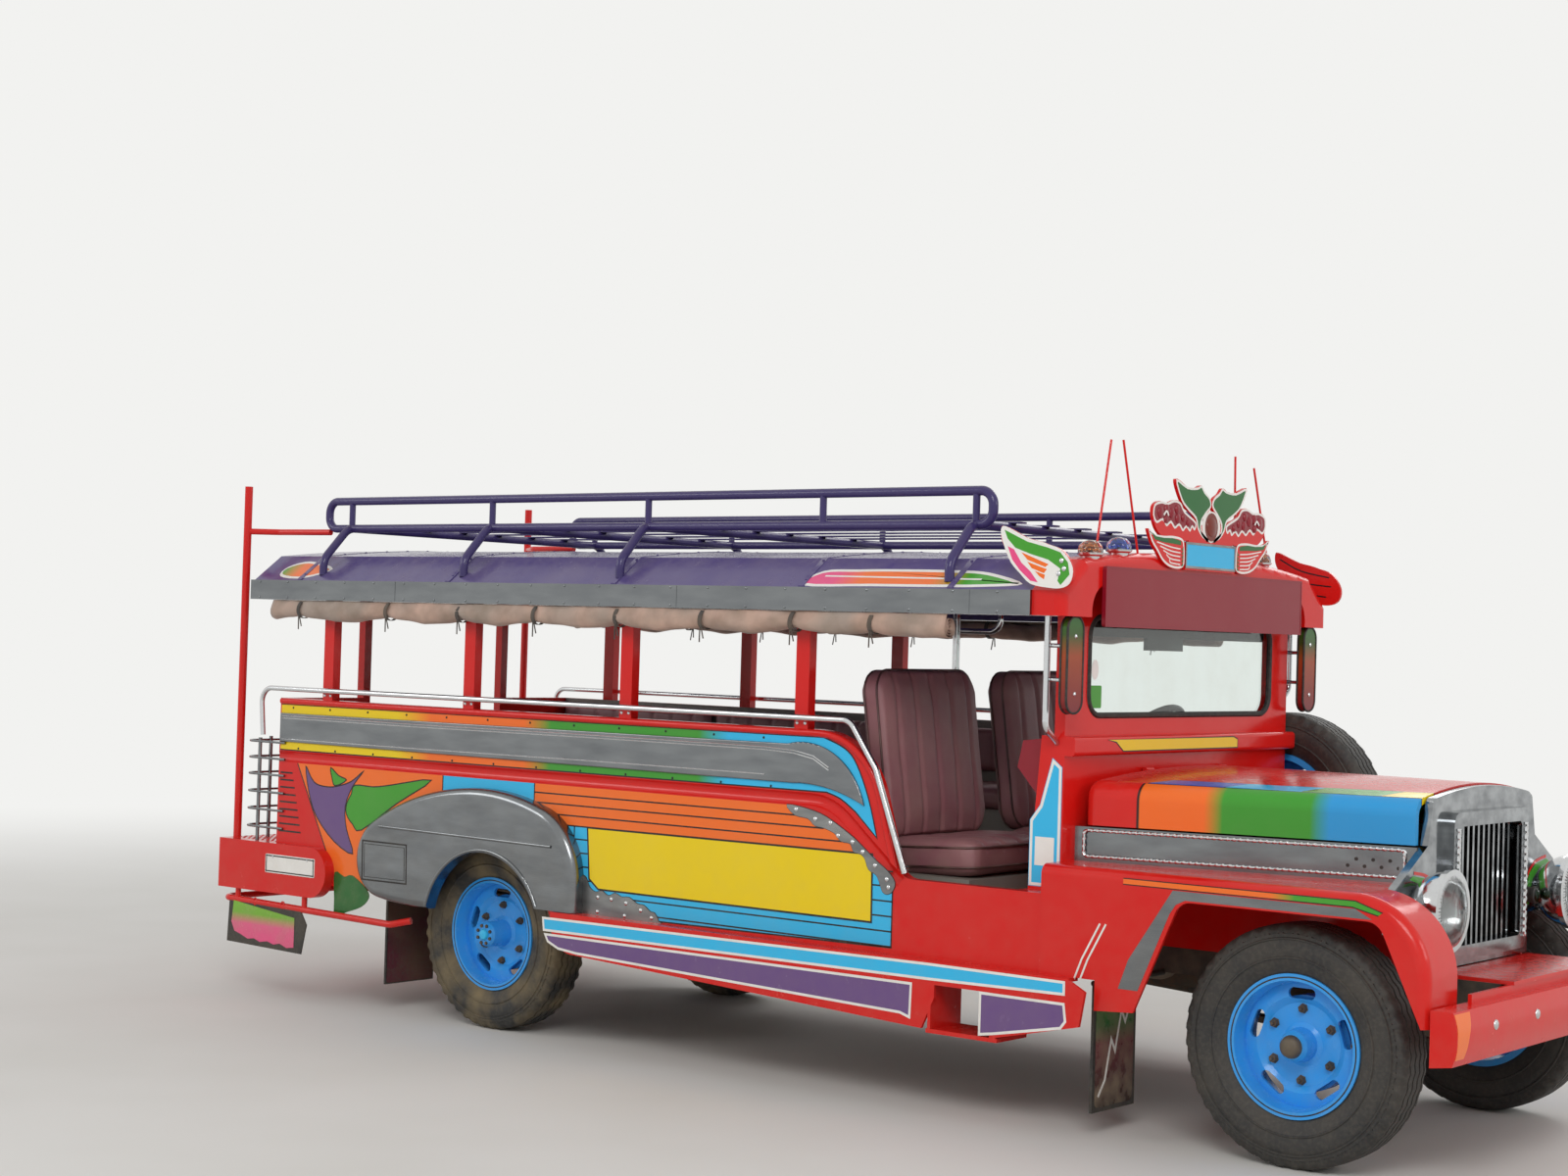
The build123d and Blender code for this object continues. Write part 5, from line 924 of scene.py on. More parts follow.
# Tyres: one closed section carried round the wheel, with zigzag grooves, shoulder lugs and sidewall rings
tread = {
    "segments": 180,
    "zigzag": 0.0045,
    "notch": 0.008,
    # half section: across and radius, with each point's share of the zigzag and of the lug's notch
    "half": points("""
        58,221 68,224.5 70.5,229 72.5,232 75,238.5 82.5,251 85,261 88.5,270.5 92.5,272.5 92.5,276 89.5,278.5
        93.5,305 91.5,321 89,329 92.8,331 92.8,334.5 88,337.5 87.2,348 85,352 82,364 77,371.5 70,375.5
        61,376.8 52,377.2 50.5,369 45,369 43.5,377.4 33,377.7 20,377.9 18.5,369.5 13,369.5 11.5,378 0,378"""),
    "zigzagShare": [0] * 22 + [0.3] + [1] * 10,
    "notchShare": [0] * 17 + [0.1, 1, 1, 1, 0.8] + [0] * 11,
}
halfTread = [(*at, *shares) for at, *shares in zip(tread["half"], tread["zigzagShare"], tread["notchShare"])]
treadSection = halfTread + [(-across, *more) for across, *more in reversed(halfTread[:-1])]


def tyreRing(middle, number):
    # the tyre's section at one of its segments
    turn = 2 * math.pi * number / tread["segments"]
    zigzag = tread["zigzag"] * (0, 1, 0, -1)[number % 4]
    notch = tread["notch"] if number % 4 > 1 else 0
    x, y, z = middle
    section = [(across + zigzag * zig, r - notch * lug) for across, r, zig, lug in treadSection]
    return [(x + r * math.cos(turn), y + across, z + r * math.sin(turn)) for across, r in section]


wheels = {
    # body, middle and the side that its outer face looks to
    "front_right": ("front_right_wheel", (2.245, -0.705, 0.378), -1),
    "front_left": ("front_left_wheel", (2.245, 0.705, 0.378), 1),
    "rear_right": ("rear_right_wheel", (-1.270, -0.705, 0.378), -1),
    "rear_left": ("rear_left_wheel", (-1.270, 0.705, 0.378), 1),
    "spare": ("chassis", (1.350, 0.880, 0.985), 1),
}
wheelParts = {
    "disc": 0.006, "lip": 0.075,        # heights of the disc's and the lip's faces off the middle
    "nuts": 0.111,
    "nut": points("16.5,-2 16.5,1 13.5,2 13.5,13 11.5,16 6.5,16 6.5,24 5,26"),
    # the rim's black ring is painted shade where the rim's lip meets the tyre
    "line": points("210.3,0.4 214.7,0.4 214.7,-1 210.3,-1"),        # painted on the rim
    "valve": points("172,12,20 180,30,21 190,52,22"),
    "flange": 0.112, "flangeBolts": 0.036, "frontCap": 0.080,
    "bolt": points("7,0 7,6 5,7.5"),
    "rearHub": points("22,-1 22,4 18,10 8,13"),
    "frontHub": points("36,-2 36,6 33,16 24,24 8,28"),
    "spareClamp": points("70,0 70,8 30,14 16,16 16,45 10,50"),
}


def addBoltCircle(mesh, middle, out, radius, count, profile):
    x, y, z = middle
    for turn in [2 * math.pi * (k + 0.5) / count for k in range(count)]:
        addTurned(mesh, (x + radius * math.cos(turn), y, z + radius * math.sin(turn)), out, profile, 6)


for name, (body, middle, side) in wheels.items():
    x, y, z = middle
    out = (0, side, 0)
    cover, nuts, line, hub = [bmesh.new() for _ in range(4)]
    joinRings(cover, [tyreRing(middle, number) for number in range(tread["segments"])], True)
    rubber = muddyRubber if name.startswith("rear") else tyreRubber
    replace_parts(newPiece(name + "_tyreCover", cover, rubber, body, 28), name + "_tyre")
    face = y + side * wheelParts["disc"]
    addBoltCircle(nuts, (x, face, z), out, wheelParts["nuts"], 6, wheelParts["nut"])
    # a thin black ring of painted shade on the rim's lip, where it meets the tyre
    lip = y + side * wheelParts["lip"]
    joinRings(line, [[(x + r * math.cos(t), lip + side * h, z + r * math.sin(t))
                      for r, h in wheelParts["line"]] for t in circle(72)], True)
    addTube(nuts, lambda u, v, w: (x + u, face + side * v, z + w), wheelParts["valve"], 0.004, 8)
    if name.startswith("rear"):
        flange = (x, y + side * wheelParts["flange"], z)
        addBoltCircle(nuts, flange, out, wheelParts["flangeBolts"], 8, wheelParts["bolt"])
        addTurned(hub, flange, out, wheelParts["rearHub"], 20)
        newPiece(name + "_hubCap", hub, blueEnamel, body)
    elif name.startswith("front"):
        addTurned(hub, (x, y + side * wheelParts["frontCap"], z), out, wheelParts["frontHub"], 24)
        newPiece(name + "_hubCap", hub, springSteel, body)
    else:
        # clamp plate with a wing nut that holds the spare in its well
        addTurned(hub, (x, 0.876, z), out, wheelParts["spareClamp"], 20)
        addBox(hub, (x - 0.050, 0.905, z - 0.006), (x + 0.050, 0.915, z + 0.006), 0.003)
        newPiece("spareClamp", hub, springSteel)
    newPiece(name + "_wheelNuts", nuts, castParts, body)
    newPiece(name + "_rimShadeRing", line, blackEnamel, body)
print("wheels dressed")

# Rolled curtains: each a spiral of thin canvas hung from the fascia, tied up along the windows
curtain = {
    "rearX": -2.475, "frontX": 1.015,
    "middleY": 0.924, "middleZ": 1.652,
    "turns": 3.6, "core": 0.006, "outer": 0.038,
    "hem": 1.689,               # height at which the sheet leaves the fascia
    "flat": (0.56, 3.49),       # width that is rolled up, and length along the roof
    "stations": 150, "perTurn": 14,
    "ties": [-2.30, -1.76, -1.34, -0.92, -0.49, -0.07, 0.35, 0.70],
    "tieReach": 0.035,          # how far along the roll a tie pinches it
    "pinch": 0.24, "uneven": 0.09, "folds": (0.06, 0.05),       # shares of the radius
    "sag": 0.017,
    "thick": 0.0012,
    "strap": (0.0335, 0.036, 0.009, 0.002),     # half its loop's width and height, half its width, thickness
    "strapEnds": ((-0.006, 0.055), (0.007, 0.042)),     # each one's way along the roof and its drop
}
chance = random.Random(7)


def curtainRow(x, waves):
    # the spiral at one place along the roof
    nearTie = min(abs(x - t) for t in curtain["ties"])
    pinch = math.exp(-(nearTie / curtain["tieReach"]) ** 2)
    wander = sum(a * math.sin(f * x + p) for f, p, a in waves) / 3.2
    outer = curtain["outer"] * (1 - curtain["pinch"] * pinch + curtain["uneven"] * wander)
    y0 = curtain["middleY"] + 0.002 * wander
    z0 = curtain["middleZ"] - curtain["sag"] * min(1.0, nearTie / 0.2) ** 2 * (0.7 + 0.3 * wander)
    row = [(x, y0 - 0.004, curtain["hem"]), (x, y0 + outer * 0.55, curtain["hem"] - 0.0005)]
    long, fine = curtain["folds"]
    count = int(curtain["turns"] * curtain["perTurn"])
    for share in [k / count for k in range(count + 1)]:
        turn = math.radians(35) - 2 * math.pi * curtain["turns"] * share
        folds = long * math.sin(3 * turn + 9 * x + wander) + fine * math.sin(23 * x + 2 * turn) * (1 + pinch)
        radius = (outer - (outer - curtain["core"]) * share) * (1 + (1 - share) * folds)
        row.append((x + 0.004 * math.sin(31 * x) * share, y0 + radius * math.cos(turn),
                    z0 + radius * 1.04 * math.sin(turn)))
    return row


for side, name in ((-1, "right"), (1, "left")):
    cloth, ties = bmesh.new(), bmesh.new()
    waves = [(chance.uniform(5, 19), chance.uniform(0, 6.3), chance.uniform(0.5, 1)) for _ in range(5)]
    step = (curtain["frontX"] - curtain["rearX"]) / curtain["stations"]
    rows = [[cloth.verts.new((x, side * y, z)) for x, y, z in curtainRow(curtain["rearX"] + step * i, waves)]
            for i in range(curtain["stations"] + 1)]
    for one, other in zip(rows, rows[1:]):
        for k in range(len(one) - 1):
            cloth.faces.new((one[k], one[k + 1], other[k + 1], other[k]))
    roll = newPiece(name + "Curtain", cloth, curtainCanvas, angle=60)
    roll.modifiers.new("canvasThickness", "SOLIDIFY").thickness = curtain["thick"]
    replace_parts(roll, "rolled_curtains")
    wide, tall, half, thick = curtain["strap"]
    for x in curtain["ties"]:
        middle = Vector((x, side * curtain["middleY"], curtain["middleZ"]))
        rings = []
        for turn in circle(20):
            reach = Vector((0.002 * math.sin(2 * turn), side * wide * math.cos(turn),
                            tall * math.sin(turn) - 0.001))
            out = Vector((0, reach.y, reach.z)).normalized()
            rings.append([middle + reach + Vector((across, 0, 0)) + out * lift
                          for across, lift in ((-half, 0), (half, 0), (half, thick), (-half, thick))])
        joinRings(ties, rings, True)
        for across, drop in curtain["strapEnds"]:
            addTube(ties, inSpace(side), [
                (x + across * (0.4 + s), curtain["middleY"] + 0.028 - 0.006 * s, 1.622 - drop * s)
                for s in (0, 0.35, 0.7, 1)], 0.0025, 6)
    tieBands = newPiece(name + "CurtainTies", ties, tieWebbing)
print("curtains rolled")


stuffing = {"pressure": 4, "frames": 20}


def filledPad(size, ease, voxel, cap, channels):
    # Slack cover to stuffed pad: even faces, cloth under pressure with no gravity, each point's move
    # capped, then one subdivision and sewn channels in the upper face
    length, width, height = size
    plan = easedCorners(-length / 2, -width / 2, length / 2, width / 2, ease)
    mesh = bmesh.new()
    levels = ((0.97, -0.5), (1.0, -0.32), (1.0, 0.32), (0.96, 0.5))
    joinRings(mesh, [[(x * grow, y * grow, z * height) for x, y in plan] for grow, z in levels])
    cover = bpy.data.meshes.new("slackCover")
    mesh.to_mesh(cover)
    mesh.free()
    pad = bpy.data.objects.new("pad", cover)
    bpy.context.scene.collection.objects.link(pad)
    even = pad.modifiers.new("evenFaces", "REMESH")
    even.mode = "VOXEL"
    even.voxel_size = voxel
    data = bpy.data.meshes.new_from_object(pad.evaluated_get(bpy.context.evaluated_depsgraph_get()))
    pad.modifiers.clear()
    pad.data = data
    before = [v.co.copy() for v in data.vertices]
    filling = pad.modifiers.new("filling", "CLOTH")
    filling.settings.use_pressure = True
    filling.settings.uniform_pressure_force = stuffing["pressure"]
    filling.settings.effector_weights.gravity = 0
    for frameNumber in range(1, stuffing["frames"] + 1):
        bpy.context.scene.frame_set(frameNumber)
    after = pad.evaluated_get(bpy.context.evaluated_depsgraph_get()).data
    moves = [b.co - a for a, b in zip(before, after.vertices)]
    pad.modifiers.clear()
    for vertex, start, move in zip(data.vertices, before, moves):
        vertex.co = start + move * min(1.0, cap / max(move.length, 1e-9))
    bpy.context.scene.frame_set(1)
    pad.modifiers.new("subdivision", "SUBSURF").levels = 1
    data = bpy.data.meshes.new_from_object(pad.evaluated_get(bpy.context.evaluated_depsgraph_get()))
    bpy.data.objects.remove(pad)
    lines, axis, top, depth, reach = channels
    for vertex in data.vertices:
        if vertex.co.z > top:
            near = min(abs(vertex.co[axis] - at) for at in lines)
            vertex.co.z -= depth * math.exp(-(near / reach) ** 2)
    return data


def placePad(name, data, matrix, node):
    # a copy of a filled pad set in its place; a mirrored copy has its faces turned back
    copy = data.copy()
    copy.transform(matrix)
    if matrix.determinant() < 0:
        copy.flip_normals()
    copy.shade_smooth()
    copy.materials.clear()
    copy.materials.append(seatVinyl)
    pad = bpy.data.objects.new(name, copy)
    bpy.context.scene.collection.objects.link(pad)
    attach(pad, "chassis")
    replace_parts(pad, node)


def seamLoop(data, level, matrix, reach=0.012):
    # the line round a filled pad at one height, where its piping runs
    near = [v.co for v in data.vertices if abs(v.co.z - level) < reach]
    loop = []
    for turn in circle(90):
        far = max(near, key=Vector((math.cos(turn), math.sin(turn), 0)).dot)
        if not loop or (far - loop[-1]).length > 0.008:
            loop.append(far)
    return [matrix @ Vector((p.x, p.y, level)) for p in loop]


# Benches: three seat pads and three back pads along each side, sewn in channels
padLength = 0.95
benchLines = [-0.36 + 0.12 * k for k in range(7)]
bench = {
    "rearX": -2.440,
    "seatAt": (0.643, 0.975), "backAt": (0.808, 1.152),     # Y and Z of their middles
    # size, corner ease, voxel, cap on the moves, and channels: lines, axis, from what height, depth, reach
    "seat": ((padLength - 0.014, 0.360, 0.078), 0.035, 0.018, 0.012, (benchLines, 0, 0.010, 0.009, 0.010)),
    "back": ((padLength - 0.014, 0.208, 0.034), 0.025, 0.018, 0.008, (benchLines, 0, 0.004, 0.007, 0.010)),
}
seatPad, backPad = filledPad(*bench["seat"]), filledPad(*bench["back"])
for side, sideName in ((-1, "right"), (1, "left")):
    for number in range(3):
        x = bench["rearX"] + padLength * (number + 0.5)
        lay, stand = [Matrix.Translation((x, side * y, z)) for y, z in (bench["seatAt"], bench["backAt"])]
        flip = Matrix.Diagonal((1, -side, 1, 1))
        upright = Matrix.Rotation(math.radians(90) * side, 4, "X")
        placePad(f"{sideName}BenchSeat_{number + 1}", seatPad, lay @ flip, "bench_cushions")
        placePad(f"{sideName}BenchBack_{number + 1}", backPad, stand @ upright, "bench_cushions")

# Front seats: a cushion and a leaning backrest on each side of the cab
seatLines = [-0.22 + 0.11 * k for k in range(5)]
seat = {
    "cushionAt": (0.785, 0.400, 0.843), "backAt": (0.553, 0.400, 1.190),
    "cushion": ((0.425, 0.630, 0.108), 0.05, 0.015, 0.014, (seatLines, 1, 0.020, 0.009, 0.010)),
    "back": ((0.625, 0.630, 0.092), 0.09, 0.015, 0.014, (seatLines, 1, 0.015, 0.009, 0.010)),
    "tip": -3, "lean": 8,
    "piping": (-0.034, 0.034),      # heights of the cushion's two lines of piping
}
cushion, backrest = filledPad(*seat["cushion"]), filledPad(*seat["back"])
tip, leaning = [Matrix.Rotation(math.radians(turn), 4, "Y") for turn in (seat["tip"], 90 - seat["lean"])]
piping = bmesh.new()
for side, sideName in ((-1, "right"), (1, "left")):
    lay, stand = [Matrix.Translation(inSpace(side)(*seat[place])) for place in ("cushionAt", "backAt")]
    placePad(sideName + "FrontCushion", cushion, lay @ tip, "front_seats")
    placePad(sideName + "FrontBackrest", backrest, stand @ leaning, "front_seats")
    for level in seat["piping"]:
        addTube(piping, inSpace(1), seamLoop(cushion, level, lay @ tip), 0.0042, 8, True)
        addTube(piping, inSpace(1), seamLoop(backrest, level * 0.8, stand @ leaning), 0.0042, 8, True)
newPiece("seatPiping", piping, pipingVinyl, angle=60)
print("seats filled")

# Windshield: rubber gasket, two blank stickers, a mirror and a dark visor strip behind the glass
shield = {
    "outside": 1.3762, "inside": 1.3695,
    "gasketX": 1.388,
    "gasket": easedCorners(-0.640, 1.361, 0.640, 1.694, 0.070, 7),
    "sticker": easedCorners(-0.606, 1.385, -0.536, 1.462, 0.006),
    "roundSticker": oval(-0.580, 1.515, 0.022, 0.034, 24),
    "strip": easedCorners(-0.62, 1.628, 0.62, 1.690, 0.02),
    "mirrorArm": smoothPath(points("1352,-20,1700 1335,-20,1672 1318,-20,1640")),
    "mirror": ((1.302, -0.150, 1.585), (1.318, 0.110, 1.645), 0.005),
}
for name, finish, shape in (("windshieldSticker", greenEnamel, "sticker"),
                            ("windshieldRoundSticker", whiteEnamel, "roundSticker")):
    dress(name, finish, frontOf(shield["outside"]), (addPlate, shield[shape], 0.0002, 0.0008), sides=[1])
dress("windshieldGasket", gasketRubber, frontOf(shield["gasketX"]),
      (addTube, shield["gasket"], 0.0105, 8, True), sides=[1])
dress("visorStrip", gasketRubber, frontOf(shield["inside"]),
      (addPlate, shield["strip"], -0.0012, -0.0004), sides=[1])
insideMirror = bmesh.new()
addTube(insideMirror, inSpace(1), shield["mirrorArm"], 0.006, 8)
addBox(insideMirror, *shield["mirror"])
newPiece("insideMirror", insideMirror, wheelPlastic)

# Hood sides: rope bead round the stainless sheet, with a row of small vent holes near the grille, drawn as
# black discs of painted shade
hoodSide = {"rearY": 0.70, "rope": 0.0055, "pitch": 0.022, "frame": (1.425, 0.897, 2.455, 0.983, 0.012, 4),
            "holes": [(2.28 + 0.026 * k, 0.925 + 0.022 * (k % 2)) for k in range(7)]}


def onHoodSide(side):
    # u is X along the tapering side of the hood
    return lambda u, v, lift: (
        u + 0.223 * lift, side * (hoodSide["rearY"] - hood["taper"] * (u - hood["rearX"]) + 0.975 * lift), v)


frameLine = easedCorners(*hoodSide["frame"])
frameLine = [(u, v, 0.003) for u, v in evenPoints(frameLine + frameLine[:1], 0.005)[:-1]]
dress("hoodSideRopes", chrome, onHoodSide,
      (addTube, frameLine, hoodSide["rope"], 8, True, 2, 0.0012, hoodSide["pitch"]))
# black discs of painted shade stand for the dark seen through the vent holes
dress("hoodSideHoleShade", gasketRubber, onHoodSide, *[
    (addPlate, oval(u, v, 0.006, 0.006, 12)) for u, v in hoodSide["holes"]])

# Front fenders: shaded stripe, stainless strip over the arch, splash strip behind it and two pinstripes
onFender = sideOf(0.900)
dress("fenderStripes", fenderEnamel, onFender,
      (addPlate, points("1700,856 2500,856 2585,828 2575,820 2490,840 1700,840")))
dress("fenderArchStrips", stainless, onFender,
      (addPlate, points("1880,834 2500,834 2555,806 1925,806 1892,790 1870,758 1762,505 1690,505 1725,600")))
for name, finish, width, lines in (
        ("fenderPinstripes", whiteEnamel, 0.0065,
         ("1640,705 1575,585 1548,518", "1618,705 1553,585 1526,518")),
        ("fenderLines", blackEnamel, 0.003,
         ("1700,857.5 2500,857.5 2588,829", "1700,838.5 2490,838.5 2575,819"))):
    dress(name, finish, onFender, *[(addBand, points(line), width) for line in lines])

# Grille: rope bead each side of the slats, and a small green marker lamp on each side
grille = {
    "rope": (0.272, 0.67, 0.38, 70),        # off the middle, low end, length and number of steps
    "marker": (0.372, 0.800),
    "bezel": points("26,0 26,20 30,24 30,34 25,37"),
    "lens": points("24,0 22,8 14,13 4,14"),
}
onShell = frontOf(2.516)
dress("shellGreenTrim", greenEnamel, onShell, (addPlate, points(
    "345,765 358,820 392,870 445,900 535,912 560,902 470,880 420,850 392,800 388,765")))
dress("shellRedTrim", redEnamel, onShell,
      (addBand, smoothPath(points("336,675 340,780 366,855 430,904 530,921")), 0.010))
y, low, long, steps = grille["rope"]
dress("grilleRopes", chrome, frontOf(2.548), (
    addTube, [(y, low + long * k / steps) for k in range(steps + 1)], 0.008, 8, False, 2, 0.0015, 0.024))

# Crowned strip on top of the grille shell: it closes the space up to the hood's arched edge
shellTop = {"back": 2.488, "front": 2.5155, "half": 0.398, "low": 1.1285, "high": 1.178, "fall": 0.209,
            "roundEnd": 0.03, "softEdge": 0.004}
back, front, half, low, high, fall, roundEnd, soft = shellTop.values()
strip, rings = bmesh.new(), []
for k in range(-20, 21):
    y = half * math.sin(math.pi * k / 40)
    past = max(0.0, abs(y) - half + roundEnd) / roundEnd
    z = low + (high - fall * y * y - low) * max(0.3, 1 - past * past) ** 0.5
    edge = [(front, z - soft), (front - soft * 0.3, z - soft * 0.3), (front - soft, z)]
    rings.append([(x, y, height) for x, height in [(back, low), (front, low)] + edge + [(back, z)]])
joinRings(strip, rings)
newPiece("shellTopStrip", strip, polishedStainless)
for name, x, profile, finish in (("markerBezels", 2.515, grille["bezel"], wheelPlastic),
                                 ("markerLenses", 2.550, grille["lens"], greenLens)):
    marker = bmesh.new()
    for side in bothSides:
        addTurned(marker, (x, side * grille["marker"][0], grille["marker"][1]), (1, 0, 0), profile, 20)
    newPiece(name, marker, finish)

# Headlamps: the lens faces of the frame's own lamp become ribbed glass
paintFaces("headlamps", [chrome, lampGlass], lambda middle, normal: 1 if (
    middle.x > 2.636 and math.hypot(abs(middle.y) - 0.50, middle.z - 0.812) < 0.1125) else 0)

# Mirrors: black edge round each back plate and two studs where the bracket is bolted
paintFaces("mirrors", [mirrorEnamel, chrome], lambda middle, normal: 1 if middle.x < 1.4285 else 0)
mirror = {"y": 0.835, "plate": easedCorners(-0.048, 1.372, 0.048, 1.690, 0.044, 7),
          "glass": easedCorners(-0.041, 1.380, 0.041, 1.682, 0.038), "studs": (1.435, 1.625)}


def onMirror(x, way=1):
    return lambda side: lambda u, v, lift=0: (x + way * lift, side * mirror["y"] + u, v)


edges, glassAndStuds = bmesh.new(), bmesh.new()
for side in bothSides:
    for x in (1.4555, 1.4305):
        addTube(edges, onMirror(x)(side), mirror["plate"], 0.0042, 6, True)
    for z in mirror["studs"]:
        addDome(glassAndStuds, onMirror(1.456)(side), (0, z, 0), 0.008, 0.005, 10)
    addPlate(glassAndStuds, onMirror(1.4298, -1)(side), mirror["glass"])
newPiece("mirrorEdges", edges, gasketRubber)
newPiece("mirrorGlassAndStuds", glassAndStuds, chrome)

# Bumper: orange ends on the red bar, carriage bolts along its face
bumper = {"end": 0.896, "slant": (0.835, 0.35, 0.422), "bolts": (0.30, 0.62), "curve": points("""
    422,2821.4 430,2823.8 450,2827.7 470,2829.1 500,2829.1 520,2826.8 540,2821.6 555,2816.7""")}
innerY, slant, lowZ = bumper["slant"]
dress("bumperBolts", chrome, frontOf(2.829), *[
    (addDome, (y, 0.50, 0), 0.016, 0.007, 12) for y in bumper["bolts"]])
orangeEnds = bmesh.new()
for side in bothSides:
    rings = []
    for z, x in bumper["curve"]:
        inner, end = innerY - slant * (z - lowZ), bumper["end"]
        ring = [(inner, 0.0003), (end, 0.0003), (end, 0.0012), (inner, 0.0012)]
        rings.append([(x + lift, side * y, z) for y, lift in ring])
    joinRings(orangeEnds, rings)
newPiece("bumperOrangeEnds", orangeEnds, orangeEnamel)
print("front dressed")

# Rear fenders: blank number frame
onRearFender = sideOf(0.940)
numberFrame = points("-1869,712 -1607,712 -1602,556 -1866,554")
dress("fenderNumberFrames", blackEnamel, onRearFender,
      (addBand, numberFrame, 0.0065, 0.0002, 0.0006, True),
      (addBand, inset(numberFrame, 0.012), 0.0025, 0.0002, 0.0006, True))

# Rear box: blank white plate with a black border on each side, red tubes stay as built
onBox = sideOf(0.930)
sidePlate = easedCorners(-2.488, 0.531, -2.172, 0.610, 0.006)
dress("sidePlates", whiteEnamel, onBox, (addPlate, sidePlate, 0.0002, 0.002))
dress("sidePlateBorders", blackEnamel, onBox, (addBand, inset(sidePlate, 0.007), 0.005, 0.002, 0.0026, True))
dress("sidePlateBolts", chrome, onBox, *[(addDome, (x, 0.599, 0.002), 0.005, 0.003) for x in (-2.44, -2.22)])

# Brackets under the walls, and mud flaps: green over pink at the rear, green over maroon with a white
# zigzag at the front, maroon under caked mud behind the fender
bracket = rounded("-2100,560 -2040,545 -1990,555 -1900,505 -1885,470 -1930,430 -2020,400 -2090,378 -2098,450")
dress("greenBrackets", leafEnamel, onWall, (addPlate, bracket, 0.0004, 0.003))
dress("rearFlapPaint", flapShaded, sideOf(0.921), (addPlate, points("""
    -2700,392 -2300,352 -2300,228 -2345,222 -2390,236 -2430,228 -2470,238 -2520,230 -2560,242 -2600,236
    -2650,252 -2690,262 -2712,300"""), 0.0002, 0.0012))
onFrontFlap = frontOf(1.565)
dress("frontFlapPaint", flapDarkerBelow, onFrontFlap,
      (addPlate, easedCorners(0.585, 0.095, 0.820, 0.470, 0.02), 0.0002, 0.001))
dress("wheelFlapPaint", cakedRubber, frontOf(-1.820),
      (addPlate, easedCorners(0.576, 0.126, 0.829, 0.480, 0.008), 0.0002, 0.001))
dress("frontFlapZigzags", whiteEnamel, onFrontFlap,
      (addBand, points("600,440 640,360 665,400 700,270 725,310 760,180 800,130"), 0.010, 0.001, 0.0016))
dress("flapClamps", redEnamel, sideOf(0.920),
      *[(addTube, oval(x, 0.399, 0.011, 0.014, 16), 0.0035, 6, True) for x in (-2.56, -2.38)])
print("rear dressed")

# Rear end: tail lamps, a blank plate and a chequered step; louvres in the red corner of each wall, drawn as
# black bands of painted shade
tail = {
    "face": -2.800,
    "lampZ": 0.565,
    "rim": points("50,0 50,6 45,12 42,12"),
    "lens": points("42,0 39,8 30,14 16.8,17 3.36,17.5"),
    "plate": easedCorners(-0.150, 0.512, 0.150, 0.612, 0.010),
    "louvres": (9, 0.955, 0.031),           # number, height of the first and pitch
    "step": (-2.785, -0.860, 0.031, 0.6558),        # first chequer, pitch and height
}
postPlaces = [-2.185 + 0.846 * n for n in range(4)]


def addLamps(mesh, y, lift, profile):
    for side in bothSides:
        addTurned(mesh, (tail["face"] + 0.001 - lift, side * y, tail["lampZ"]), (-1, 0, 0), profile, 28)


lampRims = bmesh.new()
addLamps(lampRims, 0.760, 0, tail["rim"])
addLamps(lampRims, 0.650, 0, tail["rim"])
newPiece("tailLampRims", lampRims, chrome)
for name, y, finish in (("tailLampsRed", 0.760, redLens), ("tailLampsAmber", 0.650, amberLens)):
    lens = bmesh.new()
    addLamps(lens, y, 0.011, tail["lens"])
    newPiece(name, lens, finish)


def behind(side):
    return lambda u, v, lift: (tail["face"] - lift, u, v)


dress("rearPlate", whiteEnamel, behind, (addPlate, tail["plate"], 0.0002, 0.002), sides=[1])
dress("rearPlateBorder", blackEnamel, behind,
      (addBand, inset(tail["plate"], 0.007), 0.004, 0.002, 0.0026, True), sides=[1])
chequers = bmesh.new()
firstX, firstY, pitch, stepZ = tail["step"]
for row in range(10):
    for place in range(56):
        x, y = firstX + pitch * row, firstY + pitch * place
        u, v = (0.010, 0.003) if (row + place) % 2 else (0.003, 0.010)
        joinRings(chequers, [[(x + u * k, y, z), (x, y + v * k, z), (x - u * k, y, z), (x, y - v * k, z)]
                             for k, z in ((1, stepZ), (0.6, stepZ + 0.002))])
newPiece("stepChequers", chequers, redEnamel)
count, firstZ, pitch = tail["louvres"]
# the louvres' slots are black bands of painted shade
dress("rearLouvreShade", blackEnamel, onWall, *[
    (addBand, [(-2.470, firstZ - pitch * k), (-2.392 + 0.008 * k, firstZ - pitch * k)], 0.007, 0.0002, 0.0008)
    for k in range(count)])
dress("postBolts", chrome, onWall, *[
    (addDome, (x + dx, 1.292, 0), 0.007, 0.004, 10) for x in postPlaces for dx in (-0.018, 0.018)])

# Inside: bows under the roof, matting on the floor, gauges, gear lever and pedals
cabin = {
    "bows": postPlaces + [-1.762, -0.916, -0.070, 0.776],
    "bow": points("-18,1 18,1 14,-12 -14,-12"),
    "crown": (1.8898, 0.0811),      # height of the bows in the middle, and how they fall with Y squared
    "ribs": [-0.275 + 0.025 * k for k in range(23)],
    "rib": points("-6,625.5 6,625.5 4,630 -4,630"),
    "floorEnds": (-2.40, 0.40),
    "gearLever": smoothPath(points("1060,20,620 1050,20,720 1000,30,880 955,35,1000")),
    "knob": points("10,0 20,8 24,24 19,38 6,46"),
    "boot": points("55,0 50,15 28,45 12,70"),
    "pedals": (0.28, 0.36, 0.45),
}
bows, mats, dials, dialRims, needles, levers, knobs = [bmesh.new() for _ in range(7)]
crownZ, fall = cabin["crown"]
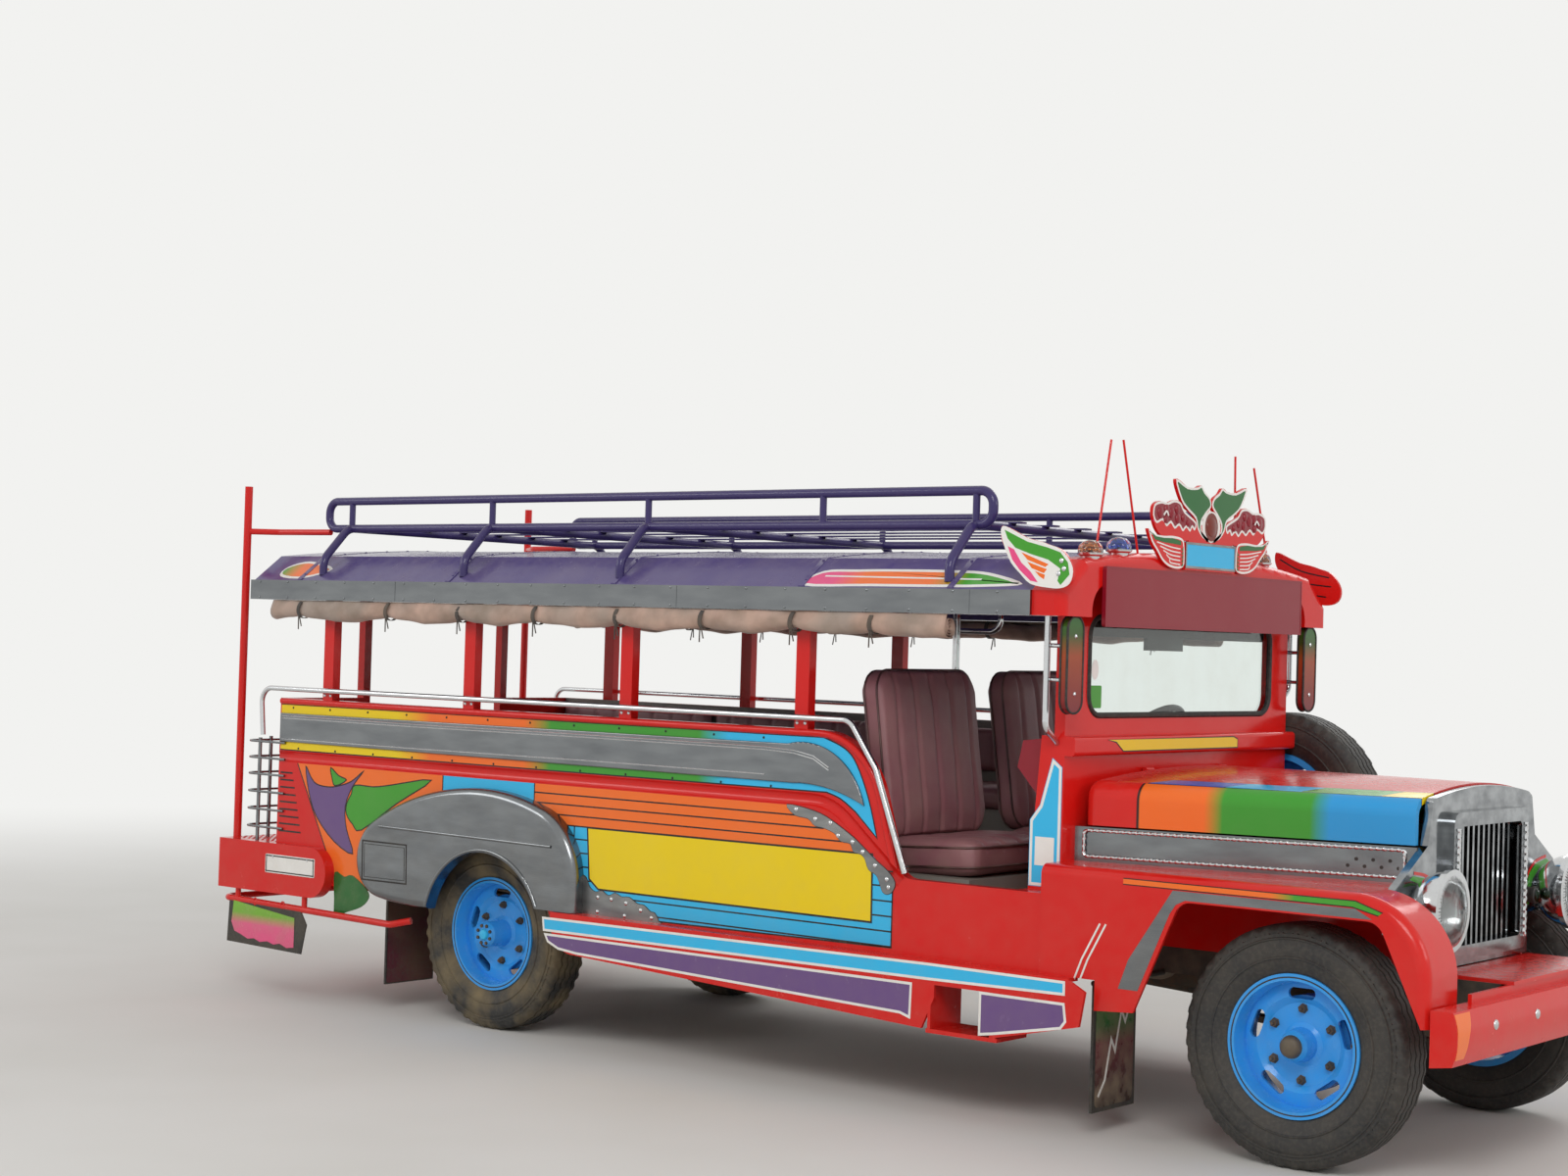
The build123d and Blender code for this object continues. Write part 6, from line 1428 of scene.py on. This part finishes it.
for x in cabin["bows"]:
    joinRings(bows, [[(x + dx, y, crownZ - fall * y * y + dz) for dx, dz in cabin["bow"]]
                     for y in [-0.72 + 0.06 * k for k in range(25)]])
for y in cabin["ribs"]:
    joinRings(mats, [[(x, y + dy, z) for dy, z in cabin["rib"]] for x in cabin["floorEnds"]])
gauges = {
    "at": (1.1895, 1.222),
    "lean": Vector((-0.975, 0, 0.222)),
    "up": Vector((0.222, 0, 0.975)),
    # place across the cab and radius
    "dials": [(0.28, 0.036), (0.38, 0.046), (0.48, 0.036), (0.12, 0.036)],
}
for y, r in gauges["dials"]:
    at = Vector((gauges["at"][0], y, gauges["at"][1]))
    lean, up = gauges["lean"], gauges["up"]
    rim = [(r + 0.005, 0), (r + 0.005, 0.007), (r + 0.001, 0.009), (r, 0.004)]
    addTurned(dialRims, at - lean * 0.002, lean, rim, 28)
    addTurned(dials, at + lean * 0.0022, lean, [(r, 0), (r, 0.0008)], 28)
    for turn in [math.radians(-130 + 26 * k) for k in range(11)]:
        out = up * math.cos(turn) + Vector((0, -1, 0)) * math.sin(turn)
        mark = [at + out * r * share + lean * 0.0034 for share in (0.78, 0.94)]
        addTube(needles, inSpace(1), mark, 0.0008, 4)
    tipAt = at + up * r * 0.6 + Vector((0, r * 0.35, 0))
    addTube(needles, inSpace(1), [at + lean * 0.004, tipAt + lean * 0.004], 0.001, 4)
addTube(levers, inSpace(1), cabin["gearLever"], 0.008, 10)
addTurned(knobs, (0.956, 0.035, 0.995), (-0.35, 0.04, 1), cabin["knob"])
addTurned(knobs, (1.06, 0.02, 0.6205), (0, 0, 1), cabin["boot"])
for y in cabin["pedals"]:
    addTube(levers, inSpace(1), smoothPath([(1.30, y, 0.86), (1.27, y, 0.78), (1.235, y, 0.735)]), 0.007, 8)
    addBox(knobs, (1.212, y - 0.026, 0.700), (1.226, y + 0.026, 0.762), 0.004)
for mesh, name, finish in (
        (bows, "roofBows", cabinEnamel), (mats, "floorMatRibs", gasketRubber),
        (dials, "gaugeFaces", whiteEnamel), (dialRims, "gaugeRims", chrome),
        (needles, "gaugeMarks", blackEnamel),
        (levers, "leversAndPedals", springSteel), (knobs, "knobsAndPads", gasketRubber)):
    newPiece(name, mesh, finish)
print("rear end and cab dressed")

low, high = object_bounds()
{"cad": [list(cadLow), list(cadHigh)], "visual": [list(low), list(high)]}
